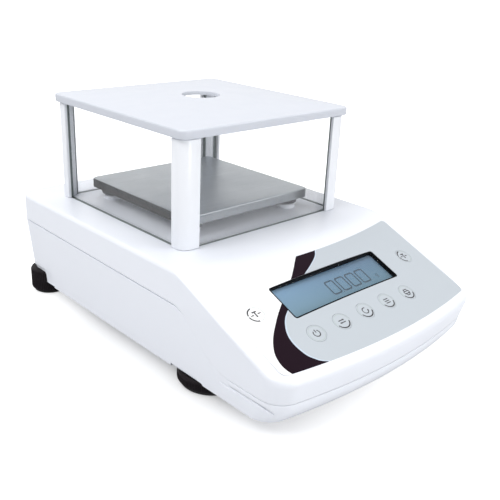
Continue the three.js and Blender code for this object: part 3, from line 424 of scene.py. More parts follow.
def surfaced(thing, material):
    thing.data.materials.clear()
    thing.data.materials.append(material)


def smooth_faces(thing, angle=32):
    mesh = thing.data
    mesh.polygons.foreach_set("use_smooth", [True] * len(mesh.polygons))
    mesh.set_sharp_from_angle(angle=math.radians(angle))


def middle_of(box, first=0, second=1):
    """The middle of a solid's box in millimetres, on two of its axes."""
    low, high = box
    return (low[first] + high[first]) * 500, (low[second] + high[second]) * 500


def block(low, high):
    (x0, y0, z0), (x1, y1, z1) = low, high
    points = [(x, y, z) for z in (z0, z1) for x, y in ((x0, y0), (x1, y0), (x1, y1), (x0, y1))]
    faces = [(3, 2, 1, 0), (4, 5, 6, 7), (0, 1, 5, 4), (1, 2, 6, 5), (2, 3, 7, 6), (3, 0, 4, 7)]
    return mesh_object("block", points, faces)


def side_prism(outline, x0, x1):
    """A profile of (y, z) pairs, run along X."""
    count = len(outline)
    points = [(x, y, z) for x in (min(x0, x1), max(x0, x1)) for y, z in outline]
    faces = [(i, (i + 1) % count, count + (i + 1) % count, count + i) for i in range(count)]
    faces += [tuple(reversed(range(count))), tuple(count + i for i in range(count))]
    return facing_out(mesh_object("side_prism", points, faces))


def facing_out(thing):
    work = bmesh.new()
    work.from_mesh(thing.data)
    bmesh.ops.recalc_face_normals(work, faces=work.faces)
    work.to_mesh(thing.data)
    work.free()
    return thing


def lofted(name, rings, loop=False):
    """A skin over rings of equally many points, turned so that its faces look outwards."""
    count = len(rings[0])
    points = [point for ring in rings for point in ring]
    faces = []
    for row in range(len(rings) if loop else len(rings) - 1):
        low, high = row * count, ((row + 1) % len(rings)) * count
        for column in range(count):
            following = (column + 1) % count
            faces.append((low + column, low + following, high + following, high + column))
    if not loop:
        last = (len(rings) - 1) * count
        faces += [tuple(reversed(range(count))), tuple(last + column for column in range(count))]
    return facing_out(mesh_object(name, points, faces))


def full_turn(steps):
    return [2 * math.pi * step / steps for step in range(steps)]


def quarter_turn(steps):
    return [math.pi / 2 * step / steps for step in range(steps + 1)]


def turned(name, profile, steps=48, centre=(0, 0)):
    """A turned piece from (radius, height) pairs, which run from axis to axis or close on themselves."""
    points, faces, rows = [], [], []
    for radius, height in profile:
        turns = full_turn(steps) if radius else [0]
        rows.append(range(len(points), len(points) + len(turns)))
        points += [(centre[0] + radius * math.cos(angle), centre[1] + radius * math.sin(angle), height)
                   for angle in turns]
    pairs = list(zip(rows, rows[1:]))
    if profile[0][0] != 0:
        pairs.append((rows[-1], rows[0]))
    for low, high in pairs:
        for step in range(steps):
            following = (step + 1) % steps
            if len(low) == 1:
                faces.append((low[0], high[following], high[step]))
            elif len(high) == 1:
                faces.append((low[step], low[following], high[0]))
            else:
                faces.append((low[step], low[following], high[following], high[step]))
    return facing_out(mesh_object(name, points, faces))


def bore(radius, low, high, centre=(0, 0), steps=48):
    """A plain round plug, which cuts a bore."""
    return turned("bore", [(0, low), (radius, low), (radius, high), (0, high)], steps, centre)


def placed(thing, matrix):
    """Puts a mesh in its place through its points, so that the object itself stays at the origin."""
    thing.data.transform(matrix)
    return thing


def fine_case_volume(inset):
    """The whole closed case, drawn inset from its outside, for trimming what lies inside it."""
    rings = []
    for height, half, rear, reach, front_corner, back_corner in case_levels():
        share = (height - case_under) / (case_top - case_under)
        lowered = height - inset * share + inset * (1 - share)
        rings.append(case_ring(lowered, half - inset, rear - inset, reach - inset,
                               max(front_corner - inset, 0.6), back_corner - inset))
    count = len(rings[0])
    last = (len(rings) - 1) * count
    faces = skin_faces(len(rings), count)
    faces += [tuple(range(count)), tuple(last + column for column in reversed(range(count)))]
    return mesh_object("inner_volume", [point for ring in rings for point in ring], faces)


same_point = 0.000002


def solid_copy(node):
    """A solid's own mesh, to be worked on."""
    copy = bpy.data.objects.new(node + "_copy", nodes[node].data.copy())
    bpy.context.scene.collection.objects.link(copy)
    merge_close(copy.data, same_point)
    return copy


def core_of(node, volume):
    """What a solid has inside the skin: its ribs, bosses, lips and floors."""
    core = solid_copy(node)
    carve(core, volume, "INTERSECT")
    return core


def soften(thing, width, angle):
    """Takes off edges sharper than an angle, by a width in millimetres, and keeps the result."""
    soft = thing.modifiers.new("soft", "BEVEL")
    soft.width = width * 0.001
    soft.segments = 2
    soft.limit_method = "ANGLE"
    soft.angle_limit = math.radians(angle)
    bake_modifiers(thing)


def skin_thickness(shell):
    wall = shell.modifiers.new("wall", "SOLIDIFY")
    wall.thickness = skin * 0.001
    wall.offset = -1
    wall.use_even_offset = False
    soften(shell, 0.18, 60)


def noise(tree, place, scale, detail=2.0):
    inputs = {"Vector": place, "Scale": scale, "Detail": detail}
    return add_node(tree, "ShaderNodeTexNoise", inputs).outputs["Fac"]


def tinted(tree, factor, *shades):
    """A mix of two shades, each a colour or another node's output."""
    inputs = {0: factor}
    for socket, shade in zip((6, 7), shades):
        inputs[socket] = shade if isinstance(shade, bpy.types.NodeSocket) else (*shade, 1.0)
    return add_node(tree, "ShaderNodeMix", inputs, data_type="RGBA").outputs[2]


shade_scale = 34
gloss_scale = 60
gloss_spread = 0.05
grain_depth = 0.0002


def moulded(name, colour, roughness, shift=0.03, grain=2600, relief=0.05, metallic=0.0, specular=0.5):
    """A moulded or cast surface: fine grain in the relief, slow changes in its gloss and shade."""
    material = bpy.data.materials.new(name)
    material.use_nodes = True
    tree = material.node_tree
    where = place_on(tree)
    darker = tuple(channel * (1 - shift) for channel in colour)
    shade = tinted(tree, noise(tree, where, shade_scale, 3), darker, colour)
    slow = noise(tree, where, gloss_scale, 4)
    gloss = ranged(tree, slow, roughness - gloss_spread, roughness + gloss_spread)
    height = noise(tree, where, grain)
    bump = add_node(tree, "ShaderNodeBump", {"Strength": relief, "Distance": grain_depth, "Height": height})
    set_inputs(tree, tree.nodes["Principled BSDF"], {
        "Base Color": shade, "Roughness": gloss, "Normal": bump,
        "Metallic": metallic, "Specular IOR Level": specular,
    })
    return material


case_white = moulded("case_white_plastic", (0.80, 0.825, 0.885), 0.34, shift=0.015, relief=0.03)
inner_volume = fine_case_volume(skin)
foot_places = {}
for corner_name in ("front_left", "front_right", "back_left", "back_right"):
    foot_places[corner_name] = middle_of(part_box("foot_pad_" + corner_name))

front_pocket_roof = 13.5
rear_pocket_roof = 23.4
front_pocket_radius = 25.8
front_notch_half = 17.5
rear_pocket_x = 66
rear_pocket_y = 117.3
beyond_side = 120
beyond_rear = 175
below_base = 5
front_notch_x = 80
screw_well_radius = 3.7
screw_well_roof = 17
socket_gap = 0.3
socket_inside, socket_outside = 150, 170
base_cutters = []
for corner_name, (x, y) in foot_places.items():
    side = math.copysign(1, x)
    if corner_name.startswith("front"):
        base_cutters.append(bore(front_pocket_radius, below_base, front_pocket_roof, (x, y), 64))
        rear, front = y + front_notch_half, y - front_notch_half
        outline = [(rear, 4), (rear, 13.2), (front + 3, 12.7), (front + 1, 12.2), (front, 10.6), (front, 4)]
        base_cutters.append(side_prism(outline, side * front_notch_x, side * beyond_side))
    else:
        outline = [(beyond_rear, 3), (beyond_rear, rear_pocket_roof), (150, rear_pocket_roof),
                   (rear_pocket_y + 3, 25.4), (rear_pocket_y + 1, 24.8), (rear_pocket_y, 22.8),
                   (rear_pocket_y, 3)]
        base_cutters.append(side_prism(outline, side * rear_pocket_x, side * beyond_side))
for index in range(1, 5):
    place = middle_of(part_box("case_screw_%d" % index))
    base_cutters.append(bore(screw_well_radius, below_base, screw_well_roof, place, 32))
for node in ("power_inlet", "data_port"):
    low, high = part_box(node)
    base_cutters.append(block((low[0] * 1000 - socket_gap, socket_inside, low[2] * 1000 - socket_gap),
                              (high[0] * 1000 + socket_gap, socket_outside, high[2] * 1000 + socket_gap)))

# Each grip groove runs round the nose: a place on its middle line, half its height there, and its depth.
grip_path = [
    (103.2, -95.5, 23.9, 0.35, 0.5), (103.0, -99, 23.9, 0.7, 0.85), (103.0, -116, 24.3, 0.85, 0.95),
    (103.0, -133, 24.7, 1.0, 1.15), (102.4, -136.6, 24.3, 1.0, 1.4), (101.5, -139.3, 23.4, 1.05, 1.5),
    (99.7, -141.7, 21.8, 1.0, 1.5), (99.2, -142.3, 21.2, 0.7, 1.1),
]
for side in (-1, 1):
    rings = []
    for x, y, z, half_height, depth in grip_path:
        ring = [(side * (x + depth * math.cos(angle)), y, z + half_height * math.sin(angle))
                for angle in full_turn(16)]
        rings.append(ring if side > 0 else ring[::-1])
    base_cutters.append(lofted("cut_grip", rings))

case_base = case_skin("case_base", above=False)
skin_thickness(case_base)
cut_out(case_base, base_cutters)
join_into(case_base, [core_of("base_shell", inner_volume)])
smooth_faces(case_base)
surfaced(case_base, case_white)
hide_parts("base_shell")
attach(case_base, "case")

# Upper case half: the white cover. Its top is flat, its slope is part of a very shallow cone, and four
# round collars stand up round the pan supports.
panel_reach = bow_reach - 56
panel_origin = Vector((0, bow_middle - panel_reach, slope_height(panel_reach)))
panel_axes = Matrix.Rotation(panel_tilt, 4, "X")
to_metres = Matrix.Diagonal((0.001, 0.001, 0.001, 1))
panel_place = to_metres @ Matrix.Translation(panel_origin) @ panel_axes @ to_metres.inverted()

collar_radius = 7.8
collar_hole = 6
collar_top = 89.5
support_offset = 51
quarters = ((-1, -1), (1, -1), (-1, 1), (1, 1))
support_places = [(side_x * support_offset, shield_y + side_y * support_offset)
                  for side_x, side_y in quarters]
key_names = ("tare_left", "tare_right", "power", "unit", "count", "menu", "print")
key_radius = 6.7
key_hole = 6.95
window_half = (109.3 / 2, 29.3 / 2)
window_corner = 2.0
window_shift = -4.4
plug_reach = (-20, 6)
cover_inside, cover_outside = 80, 92


def panel_spot(x, y):
    """A place on the slope with its own axes: x to the right, y up the slope, z square to the surface."""
    bearing = math.atan2(x, bow_middle - y)
    up = Vector((panel_slope * math.sin(bearing), -panel_slope * math.cos(bearing), 1)).normalized()
    across = (Vector((1, 0, 0)) - up * up.x).normalized()
    axes = Matrix((across, up.cross(across), up)).transposed().to_4x4()
    place = Matrix.Translation(Vector((x, y, slope_height(math.hypot(x, bow_middle - y)))))
    return to_metres @ place @ axes @ to_metres.inverted()


# A key leans, so the middle of its box is a little behind its own axis.
key_lean = 0.17
key_spots = {}
for name in key_names:
    x, y = middle_of(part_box("key_" + name))
    key_spots[name] = (x, y - key_lean)

rounded_steps = 7


def rounded_ring(half_x, half_y, radius, height, centre=(0, 0)):
    ring = []
    for corner, (side_x, side_y) in enumerate(((1, 1), (-1, 1), (-1, -1), (1, -1))):
        for step in range(rounded_steps + 1):
            angle = math.radians(90 * corner + 90 * step / rounded_steps)
            ring.append((centre[0] + side_x * (half_x - radius) + radius * math.cos(angle),
                         centre[1] + side_y * (half_y - radius) + radius * math.sin(angle), height))
    return ring


def panel_plugs():
    """What cuts the seven key holes and the display's opening, square to the slope."""
    plugs = [placed(bore(key_hole, *plug_reach), panel_spot(*spot)) for spot in key_spots.values()]
    rings = [rounded_ring(*window_half, window_corner, height, (window_shift, 0)) for height in plug_reach]
    return [*plugs, placed(lofted("window_plug", rings), panel_place)]


vial_place = middle_of(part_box("level_vial"))
vial_hole = 7.3
case_cover = case_skin("case_cover", above=True)
skin_thickness(case_cover)

cover_cutters = panel_plugs() + [bore(vial_hole, cover_inside, cover_outside, vial_place)]
cover_cutters += [bore(collar_hole, cover_inside, cover_outside, place, 40) for place in support_places]
pane_middle = 77.9
pane_groove = 3.6
groove_floor = 85.3
front_groove_half = 70.5
side_groove_half = 72.5
for side in (-1, 1):
    low, high = side * pane_middle - pane_groove / 2, side * pane_middle + pane_groove / 2
    cover_cutters.append(block((low, shield_y - side_groove_half, groove_floor),
                               (high, shield_y + side_groove_half, cover_outside)))
    cover_cutters.append(block((-front_groove_half, shield_y + low, groove_floor),
                               (front_groove_half, shield_y + high, cover_outside)))
cut_out(case_cover, cover_cutters)
collar_profile = [
    (collar_hole, 85.6), (collar_radius, 85.6), (collar_radius, 88.6), (collar_radius - 0.25, 89.2),
    (collar_radius - 0.9, collar_top), (collar_hole + 0.5, collar_top), (collar_hole, 89.1),
]
collars = [turned("collar", collar_profile, 48, place) for place in support_places]
join_into(case_cover, [core_of("top_cover", inner_volume), *collars])
drop_object(inner_volume)
smooth_faces(case_cover)
surfaced(case_cover, case_white)
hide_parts("top_cover")
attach(case_cover, "case")

# Printed film: a thin polyester sheet glued to the slope, between two of its bows. It is pale grey with
# a dark plum band that sweeps across from the top edge to the left front corner, and white beyond it.
film_half = 98
film_corner = 4
film_front = 506
film_back = 427.6
film_low = 0.02
film_high = 0.2
film_edge = 0.05


def film_row_half(reach):
    from_edge = min(film_front - reach, reach - film_back)
    if from_edge >= film_corner:
        return film_half
    return film_half - film_corner + math.sqrt(film_corner ** 2 - (film_corner - from_edge) ** 2)


def film_grid(lift, tuck):
    rim = [0, 0.15, 0.6, 1.3, 2.5, 4]
    reaches = [film_back + step for step in rim]
    reaches += list(np.linspace(film_back + rim[-1], film_front - rim[-1], 26)[1:-1])
    reaches += [film_front - step for step in reversed(rim)]
    rows = []
    for reach in reaches:
        half = film_row_half(reach) - tuck
        held = min(max(reach, film_back + tuck), film_front - tuck)
        rows.append([(x, bow_middle - math.sqrt(held ** 2 - x ** 2), slope_height(held) + lift)
                     for x in np.linspace(-half, half, 75)])
    return rows


def film_sheet(name):
    lower = film_grid(film_low, 0)
    layers = (lower, film_grid(film_high - film_edge, 0), film_grid(film_high, 0.06))
    rows, columns = len(lower), len(lower[0])
    points = [point for grid in layers for row in grid for point in row]
    layer = rows * columns
    faces = []
    for row in range(rows - 1):
        for column in range(columns - 1):
            corner = row * columns + column
            faces.append((corner, corner + 1, corner + columns + 1, corner + columns))
            top_corner = 2 * layer + corner
            faces.append((top_corner, top_corner + columns, top_corner + columns + 1, top_corner + 1))
    rim = list(range(columns))
    rim += [row * columns + columns - 1 for row in range(1, rows)]
    rim += [(rows - 1) * columns + column for column in reversed(range(columns - 1))]
    rim += [row * columns for row in reversed(range(1, rows - 1))]
    for here, following in zip(rim, rim[1:] + rim[:1]):
        for floor in (0, layer):
            faces.append((floor + here, floor + following, floor + layer + following, floor + layer + here))
    return facing_out(mesh_object(name, points, faces))


# The edges of the band lie between these limits, as millimetres left of and ahead of the middle.
band_front, band_length = 153, 77
band_side, band_width = 96, 104


def boundary(tree, y, points):
    """The place of an edge across the film at each place along it, both in millimetres."""
    share = value_node(tree, "DIVIDE", value_node(tree, "ADD", y, band_front), band_length)
    curve = tree.nodes.new("ShaderNodeFloatCurve")
    line = curve.mapping.curves[0]
    spots = sorted(((py + band_front) / band_length, (px + band_side) / band_width) for px, py in points)
    line.points[0].location = spots[0]
    line.points[1].location = spots[-1]
    for spot in spots[1:-1]:
        line.points.new(*spot)
    curve.mapping.update()
    tree.links.new(share, curve.inputs["Value"])
    across = value_node(tree, "MULTIPLY", curve.outputs[0], band_width)
    return value_node(tree, "SUBTRACT", across, band_side)


def past(tree, value, edge, soft=0.25):
    """Nought before an edge and one past it, with a soft step."""
    distance = value_node(tree, "SUBTRACT", value, edge)
    return value_node(tree, "ADD", value_node(tree, "DIVIDE", distance, soft), 0.5, held=True)


def opened(material):
    """A material's tree, its shader, its own shade and the place on the piece, for adding to it."""
    tree = material.node_tree
    shader = tree.nodes["Principled BSDF"]
    return tree, shader, shader.inputs["Base Color"].links[0].from_socket, place_on(tree)


def along(tree, where, axis, scale=1000):
    """The place along one axis, in millimetres."""
    axes = add_node(tree, "ShaderNodeSeparateXYZ", {0: where})
    return value_node(tree, "MULTIPLY", axes.outputs[axis], scale)


band_left = [
    (-15.8, -76.5), (-17.7, -77.7), (-27.2, -84.9), (-37.2, -92.1), (-59.5, -105.7), (-68.2, -111.2),
    (-76.4, -117.1), (-82.9, -122.2), (-88.2, -127.7), (-91.6, -132.8), (-92.9, -136.7), (-93.4, -140.3),
    (-93.2, -143.1), (-92.4, -146), (-91.2, -148.4), (-89.8, -150.4),
]
band_right = [
    (4.5, -76.5), (1.9, -78.2), (-1.2, -81.2), (-13.5, -87.9), (-23.1, -92.1), (-60.6, -112.1),
    (-65.2, -115), (-70.2, -120), (-73.5, -125.1), (-74.9, -129.7), (-75.1, -134.3), (-74.4, -139.2),
    (-73.2, -143), (-71.2, -145.9), (-68.2, -149.2), (-64.3, -151.6), (-62.6, -152.6),
]
film_grey = (0.465, 0.505, 0.545)
film_white = (0.90, 0.905, 0.915)
band_plum = (0.013, 0.006, 0.011)
fringe_blue = (0.52, 0.60, 0.70)
fringe_width = 1.1
film_shine, band_shine = 0.42, 0.04


def film_face(name, colour):
    return moulded(name, colour, 0.42, shift=0.012, grain=5200, relief=0.035)


def film_print(name):
    material = film_face(name, film_grey)
    tree, shader, grey, where = opened(material)
    x, y = along(tree, where, "X"), along(tree, where, "Y")
    right = boundary(tree, y, band_right)
    past_left = past(tree, x, boundary(tree, y, band_left))
    past_right = past(tree, x, right)
    past_fringe = past(tree, x, value_node(tree, "ADD", right, fringe_width))
    shade = tinted(tree, past_left, film_white, band_plum)
    shade = tinted(tree, past_fringe, tinted(tree, past_right, shade, fringe_blue), grey)
    on_band = value_node(tree, "SUBTRACT", past_left, past_right, held=True)
    off_band = value_node(tree, "SUBTRACT", 1.0, on_band)
    shine = value_node(tree, "ADD", value_node(tree, "MULTIPLY", off_band, film_shine), band_shine)
    set_inputs(tree, shader, {"Base Color": shade, "Specular IOR Level": shine})
    return material


front_film = film_sheet("front_film")
cut_out(front_film, panel_plugs())
smooth_faces(front_film)
surfaced(front_film, film_print("front_film_print"))
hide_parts("front_overlay")
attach(front_film, "case")

# Display frame: a deep black frame, moulded in plastic. Its top follows the slope and stands a hair
# above the film.
frame_depth = 4
frame_half = (54.5, 14.5)


def panel_rise(x, y):
    """How high the slope is at a place of the display's own plane, square to that plane."""
    rise = 0.0
    for _ in range(5):
        spot = panel_origin + panel_axes.to_3x3() @ Vector((x, y, rise))
        rise += (slope_height(math.hypot(spot.x, bow_middle - spot.y)) - spot.z) * math.cos(panel_tilt)
    return rise


def side_points(ring, across_pieces, along_pieces):
    """Adds points along the four sides of a rounded ring, so that it can follow a curved face."""
    full = []
    group = len(ring) // 4
    for corner in range(4):
        full += ring[corner * group:(corner + 1) * group]
        here = full[-1]
        following = ring[(corner + 1) * group % len(ring)]
        pieces = across_pieces if corner % 2 == 0 else along_pieces
        for step in range(1, pieces):
            share = step / pieces
            full.append(tuple(a + (b - a) * share for a, b in zip(here, following)))
    return full


def frame_ring(inset, lift, corner):
    half_x, half_y = (half - inset for half in frame_half)
    ring = side_points(rounded_ring(half_x, half_y, corner, 0, (window_shift, 0)), 26, 6)
    return [(x, y, -frame_depth if lift is None else panel_rise(x, y) + lift) for x, y, _ in ring]


display_frame = placed(lofted("display_frame", [
    frame_ring(0, None, 2), frame_ring(0, 0.02, 2), frame_ring(0.12, 0.14, 1.88),
    frame_ring(0.8, 0.14, 1.5), frame_ring(1, -0.02, 1.4), frame_ring(1, None, 1.4),
], loop=True), panel_place)
smooth_faces(display_frame)
surfaced(display_frame, moulded(
    "display_frame_black", (0.004, 0.004, 0.005), 0.5, shift=0.2, relief=0.04, specular=0.06))
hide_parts("display_bezel")
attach(display_frame, "case")

# Display: a blue-grey liquid crystal cell under a clear acrylic window. It shows four noughts, a decimal
# point and a faint unit mark.
cell_left, cell_width = 59, 110
cell_front, cell_depth = 13.5, 27


def panel_share(tree):
    """Places across and up the display's own plane, in millimetres from the middle of the panel."""
    where = place_on(tree)
    found = []
    for axis in (Vector((1, 0, 0)), panel_axes.to_3x3() @ Vector((0, 1, 0))):
        inputs = {0: where, 1: tuple(axis * 1000)}
        dot = add_node(tree, "ShaderNodeVectorMath", inputs, operation="DOT_PRODUCT")
        found.append(value_node(tree, "SUBTRACT", dot.outputs["Value"], axis.dot(panel_origin)))
    return found


def display_cell(name):
    material = moulded(name, (0.22, 0.32, 0.42), 0.6, relief=0.01, specular=0.0)
    tree = material.node_tree
    across, up = panel_share(tree)
    across = value_node(tree, "DIVIDE", value_node(tree, "ADD", across, cell_left), cell_width, held=True)
    up = value_node(tree, "DIVIDE", value_node(tree, "ADD", up, cell_front), cell_depth, held=True)
    # The blue is the cell's own. Its darkening to the right, most at the top right, is painted shade of the
    # frame.
    low_painted_shading = tinted(tree, across, (0.165, 0.275, 0.345), (0.13, 0.23, 0.30))
    high_painted_shading = tinted(tree, across, (0.185, 0.315, 0.465), (0.115, 0.185, 0.275))
    set_inputs(tree, tree.nodes["Principled BSDF"], {"Base Color": tinted(tree, up, low_painted_shading, high_painted_shading)})
    return material


sheet_cloud = 0.994
sheet_index = 1.45


def clear_sheet(name, tint, shine_share):
    """A clear sheet: nearly all light goes straight through, a little is mirrored at a flat angle."""
    material, tree = bare_material(name)
    where = place_on(tree)
    dimmer = tuple(channel * sheet_cloud for channel in tint)
    shade = tinted(tree, noise(tree, where, 45, 3), dimmer, tint)
    gloss = ranged(tree, noise(tree, where, 90, 4), 0.02, 0.06)
    through = add_node(tree, "ShaderNodeBsdfTransparent", {"Color": shade})
    shine = add_node(tree, "ShaderNodeBsdfGlossy", {"Roughness": gloss})
    edge = add_node(tree, "ShaderNodeFresnel", {"IOR": sheet_index})
    share = value_node(tree, "MULTIPLY", edge, shine_share)
    mix = add_node(tree, "ShaderNodeMixShader", {"Fac": share, 1: through, 2: shine})
    add_node(tree, "ShaderNodeOutputMaterial", {"Surface": mix})
    return material


surfaced(nodes["lcd_panel"], display_cell("display_cell"))
surfaced(nodes["display_window"], clear_sheet("display_acrylic", (0.995, 0.995, 0.996), 0.06))

figure_width = 9.0
figure_height = 13.1
figure_pitch = 10.8
figure_start = (-11.9, -7.6)
figure_stroke = 1.25
figure_corner = 0.9
figure_level = -4.27
point_side = 0.9
unit_stroke = 0.4
unit_x, unit_y = 37.4, -4.9


def flat_stroke(points, width, closed=False):
    """A flat line of one width through points, as (points, faces)."""
    count = len(points)
    outer, inner = [], []
    for index in range(count):
        here = Vector(points[index])
        before = Vector(points[index - 1]) if closed or index > 0 else None
        after = Vector(points[(index + 1) % count]) if closed or index < count - 1 else None
        first = (here - before).normalized() if before is not None else (after - here).normalized()
        second = (after - here).normalized() if after is not None else first
        turn = (first + second).normalized()
        across = Vector((-turn.y, turn.x))
        reach = width / 2 / max(0.35, abs(across.dot(Vector((-first.y, first.x)))))
        outer.append(here + across * reach)
        inner.append(here - across * reach)
    faces = []
    for index in range(count if closed else count - 1):
        following = (index + 1) % count
        faces.append((index, count + index, count + following, following))
    return [(*spot,) for spot in outer + inner], faces


def flat_marks(name, strokes, height):
    points, faces = [], []
    for stroke_points, stroke_faces in strokes:
        start = len(points)
        points += [(x, y, height) for x, y in stroke_points]
        faces += [tuple(start + corner for corner in face) for face in stroke_faces]
    return mesh_object(name, points, faces)


def nought(x, y):
    """A figure as a closed line with its four corners cut off."""
    inset = figure_stroke / 2
    right, head, cut = figure_width - inset, figure_height - inset, inset + figure_corner
    far, high = figure_width - cut, figure_height - cut
    corners = [(cut, inset), (far, inset), (right, cut), (right, high),
               (far, head), (cut, head), (inset, high), (inset, cut)]
    return flat_stroke([(x + across, y + up) for across, up in corners], figure_stroke, closed=True)


figure_x, figure_y = figure_start
figure_strokes = [nought(figure_x + place * figure_pitch, figure_y) for place in range(4)]
point_x, point_y = figure_x + figure_width + 0.3, figure_y + 0.2
figure_strokes.append(flat_stroke([(point_x, point_y), (point_x + point_side, point_y)], point_side))
unit_loop = [(unit_x + 1.05 * math.cos(turn), unit_y + 1.15 * math.sin(turn)) for turn in full_turn(14)]
figure_strokes.append(flat_stroke(unit_loop, unit_stroke, closed=True))
unit_tail = [(unit_x + 1.1, unit_y + 1.3), (unit_x + 1.05, unit_y - 1.7),
             (unit_x + 0.5, unit_y - 2.3), (unit_x - 0.6, unit_y - 2.3)]
figure_strokes.append(flat_stroke(unit_tail, unit_stroke))
display_figures = placed(flat_marks("display_figures", figure_strokes, figure_level), panel_place)
surfaced(display_figures, moulded("display_figure_ink", (0.02, 0.048, 0.08), 0.5, shift=0.15, relief=0.01))
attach(display_figures, "case")

# Keys: seven round plastic keys with a printed face, a thin ring round its edge and a dark mark. Each has
# a short stem down to its switch.
key_face = 0.24
key_cap_radius = 6.76
key_below = 1
key_cut = 0.9
ink_level = key_face + 0.012
mark_lift = 0.006
ring_radius = 5.9
ring_line = 0.28
arc_radius = 5.5
mark_line = 0.72
tare_line = 1.05
mark_head, tare_head = 1.5, 1.2
barb_share = 0.62


def arc(radius, start, end, steps=24):
    turns = [math.radians(start + (end - start) * step / steps) for step in range(steps + 1)]
    return [(radius * math.cos(turn), radius * math.sin(turn)) for turn in turns]


def arrow(tail, tip, width, head):
    """A line with an arrow head, as a list of strokes."""
    start, end = Vector(tail), Vector(tip)
    line = (end - start).normalized()
    across = Vector((-line.y, line.x))
    neck = end - line * head
    barbs = [tuple(neck + across * head * barb_share), tuple(neck - across * head * barb_share)]
    return [flat_stroke([tail, tuple(neck)], width), ([tuple(end), *barbs], [(0, 1, 2)])]


def lines(width, *paths):
    return [flat_stroke(path, width) for path in paths]


def key_marks(name):
    """A power sign, two arrows, a turning arrow, three bars, a printer, or a bar between two arrows."""
    if name == "power":
        return lines(mark_line, arc(2.5, 125, 415), [(0, 0.6), (0, 3.2)])
    if name == "unit":
        there = arrow((-2.6, 0.95), (2.7, 0.95), mark_line, mark_head)
        return there + arrow((2.6, -1.05), (-2.7, -1.05), mark_line, mark_head)
    if name == "count":
        turning = arc(2.4, 60, 330)
        return lines(mark_line, turning) + arrow(turning[-1], (2.75, 0.55), mark_line, mark_head)
    if name == "menu":
        return lines(mark_line, *([(-2.4, level), (2.4, level)] for level in (-1.7, 0, 1.7)))
    if name == "print":
        body = flat_stroke([(-2.6, -0.9), (2.6, -0.9), (2.6, 1.1), (-2.6, 1.1)], mark_line, closed=True)
        paper = [(-1.6, 1.1), (-1.6, 2.7), (1.6, 2.7), (1.6, 1.1)]
        slip = [(-1.5, -0.3), (-1.5, -2.4), (1.5, -2.4), (1.5, -0.3)]
        return [body, *lines(mark_line, paper, slip)]
    marks = lines(tare_line, [(-1.8, 2.2), (1.8, 2.2)], [(0, 1.8), (0, -2.3)])
    marks += arrow((-4.1, 0), (-1.3, 0), mark_line, tare_head)
    return marks + arrow((4.1, 0), (1.3, 0), mark_line, tare_head)


def key_arcs(name):
    """The heavy dark arc near the edge of a key face."""
    if name.startswith("tare"):
        return lines(1.0, arc(arc_radius, 95, 170), arc(arc_radius, 180, 262))
    return [] if name == "power" else lines(0.95, arc(arc_radius, -158, -14))


def key_stem(name, place):
    """The solid key below its cap, cut off square to its own axis."""
    stem = solid_copy("key_" + name)
    work = bmesh.new()
    work.from_mesh(stem.data)
    cut = place @ Vector((0, 0, -key_cut * 0.001))
    up = (place.to_3x3() @ Vector((0, 0, 1))).normalized()
    everything = work.verts[:] + work.edges[:] + work.faces[:]
    sliced = bmesh.ops.bisect_plane(work, geom=everything, plane_co=cut, plane_no=up, clear_outer=True)
    rim_edges = [item for item in sliced["geom_cut"] if isinstance(item, bmesh.types.BMEdge)]
    bmesh.ops.holes_fill(work, edges=rim_edges)
    work.to_mesh(stem.data)
    work.free()
    return stem


key_tone = film_face("key_face_print", film_grey)
key_white = film_face("key_face_white", film_white)
key_ink = moulded("key_ink", (0.035, 0.032, 0.038), 0.5, shift=0.2, relief=0.02)
key_ring_ink = moulded("key_ring_ink", (0.36, 0.43, 0.40), 0.5, shift=0.05, relief=0.02)
cap_profile = [
    (0, -key_below), (key_radius - 0.15, -key_below), (key_radius, 0.15 - key_below), (key_radius, -0.4),
    (key_cap_radius, -0.3), (key_cap_radius, key_face - 0.12), (key_cap_radius - 0.04, key_face - 0.04),
    (key_cap_radius - 0.14, key_face), (0, key_face),
]

for name, spot in key_spots.items():
    place = panel_spot(*spot)
    cap = turned("key_cap_" + name, cap_profile, 72)
    surfaced(cap, key_white if name == "tare_left" else key_tone)
    round_edge = arc(ring_radius, 0, 360, steps=72)[:-1]
    ring = flat_marks("key_ring", [flat_stroke(round_edge, ring_line, closed=True)], ink_level)
    marks = flat_marks("key_mark", key_marks(name) + key_arcs(name), ink_level + mark_lift)
    for print_mesh, ink in ((ring, key_ring_ink), (marks, key_ink)):
        surfaced(print_mesh, ink)
        for polygon in print_mesh.data.polygons:
            if polygon.normal.z < 0:
                polygon.flip()
    smooth_faces(cap)
    join_into(cap, [ring, marks])
    placed(cap, place)
    stem = key_stem(name, place)
    surfaced(stem, key_tone)
    join_into(cap, [stem])
    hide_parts("key_" + name)
    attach(cap, "key_body_" + name)

# Circuit boards, switches and flat cable: green glass fibre boards with fine copper tracks, small black
# push switches under the keys and a pale ribbon with its conductors along it.


def board_green(name):
    material = moulded(name, (0.02, 0.17, 0.07), 0.35, shift=0.1, grain=900)
    tree, shader, plain, where = opened(material)
    tracks = add_node(tree, "ShaderNodeTexBrick", {"Scale": 160, "Mortar Size": 0.06, "Vector": where})
    set_inputs(tree, shader, {"Base Color": tinted(tree, tracks.outputs["Fac"], plain, (0.05, 0.29, 0.13))})
    return material


# The wave texture's scale for a spacing of one metre.
wave_share = 0.314


def striped(name, colour, stripe, spacing, axis, roughness=0.4, metallic=0.0, relief=0.05):
    """Fine parallel lines along a piece, such as conductors in a ribbon or the marks of a mill."""
    material = moulded(name, colour, roughness, shift=0.05, relief=relief, metallic=metallic)
    tree, shader, plain, where = opened(material)
    inputs = {"Scale": wave_share / spacing, "Distortion": 0.15, "Vector": where}
    wave = add_node(tree, "ShaderNodeTexWave", inputs, bands_direction=axis)
    shade = tinted(tree, ranged(tree, wave.outputs["Fac"], 0, 1), plain, stripe)
    set_inputs(tree, shader, {"Base Color": shade})
    return material


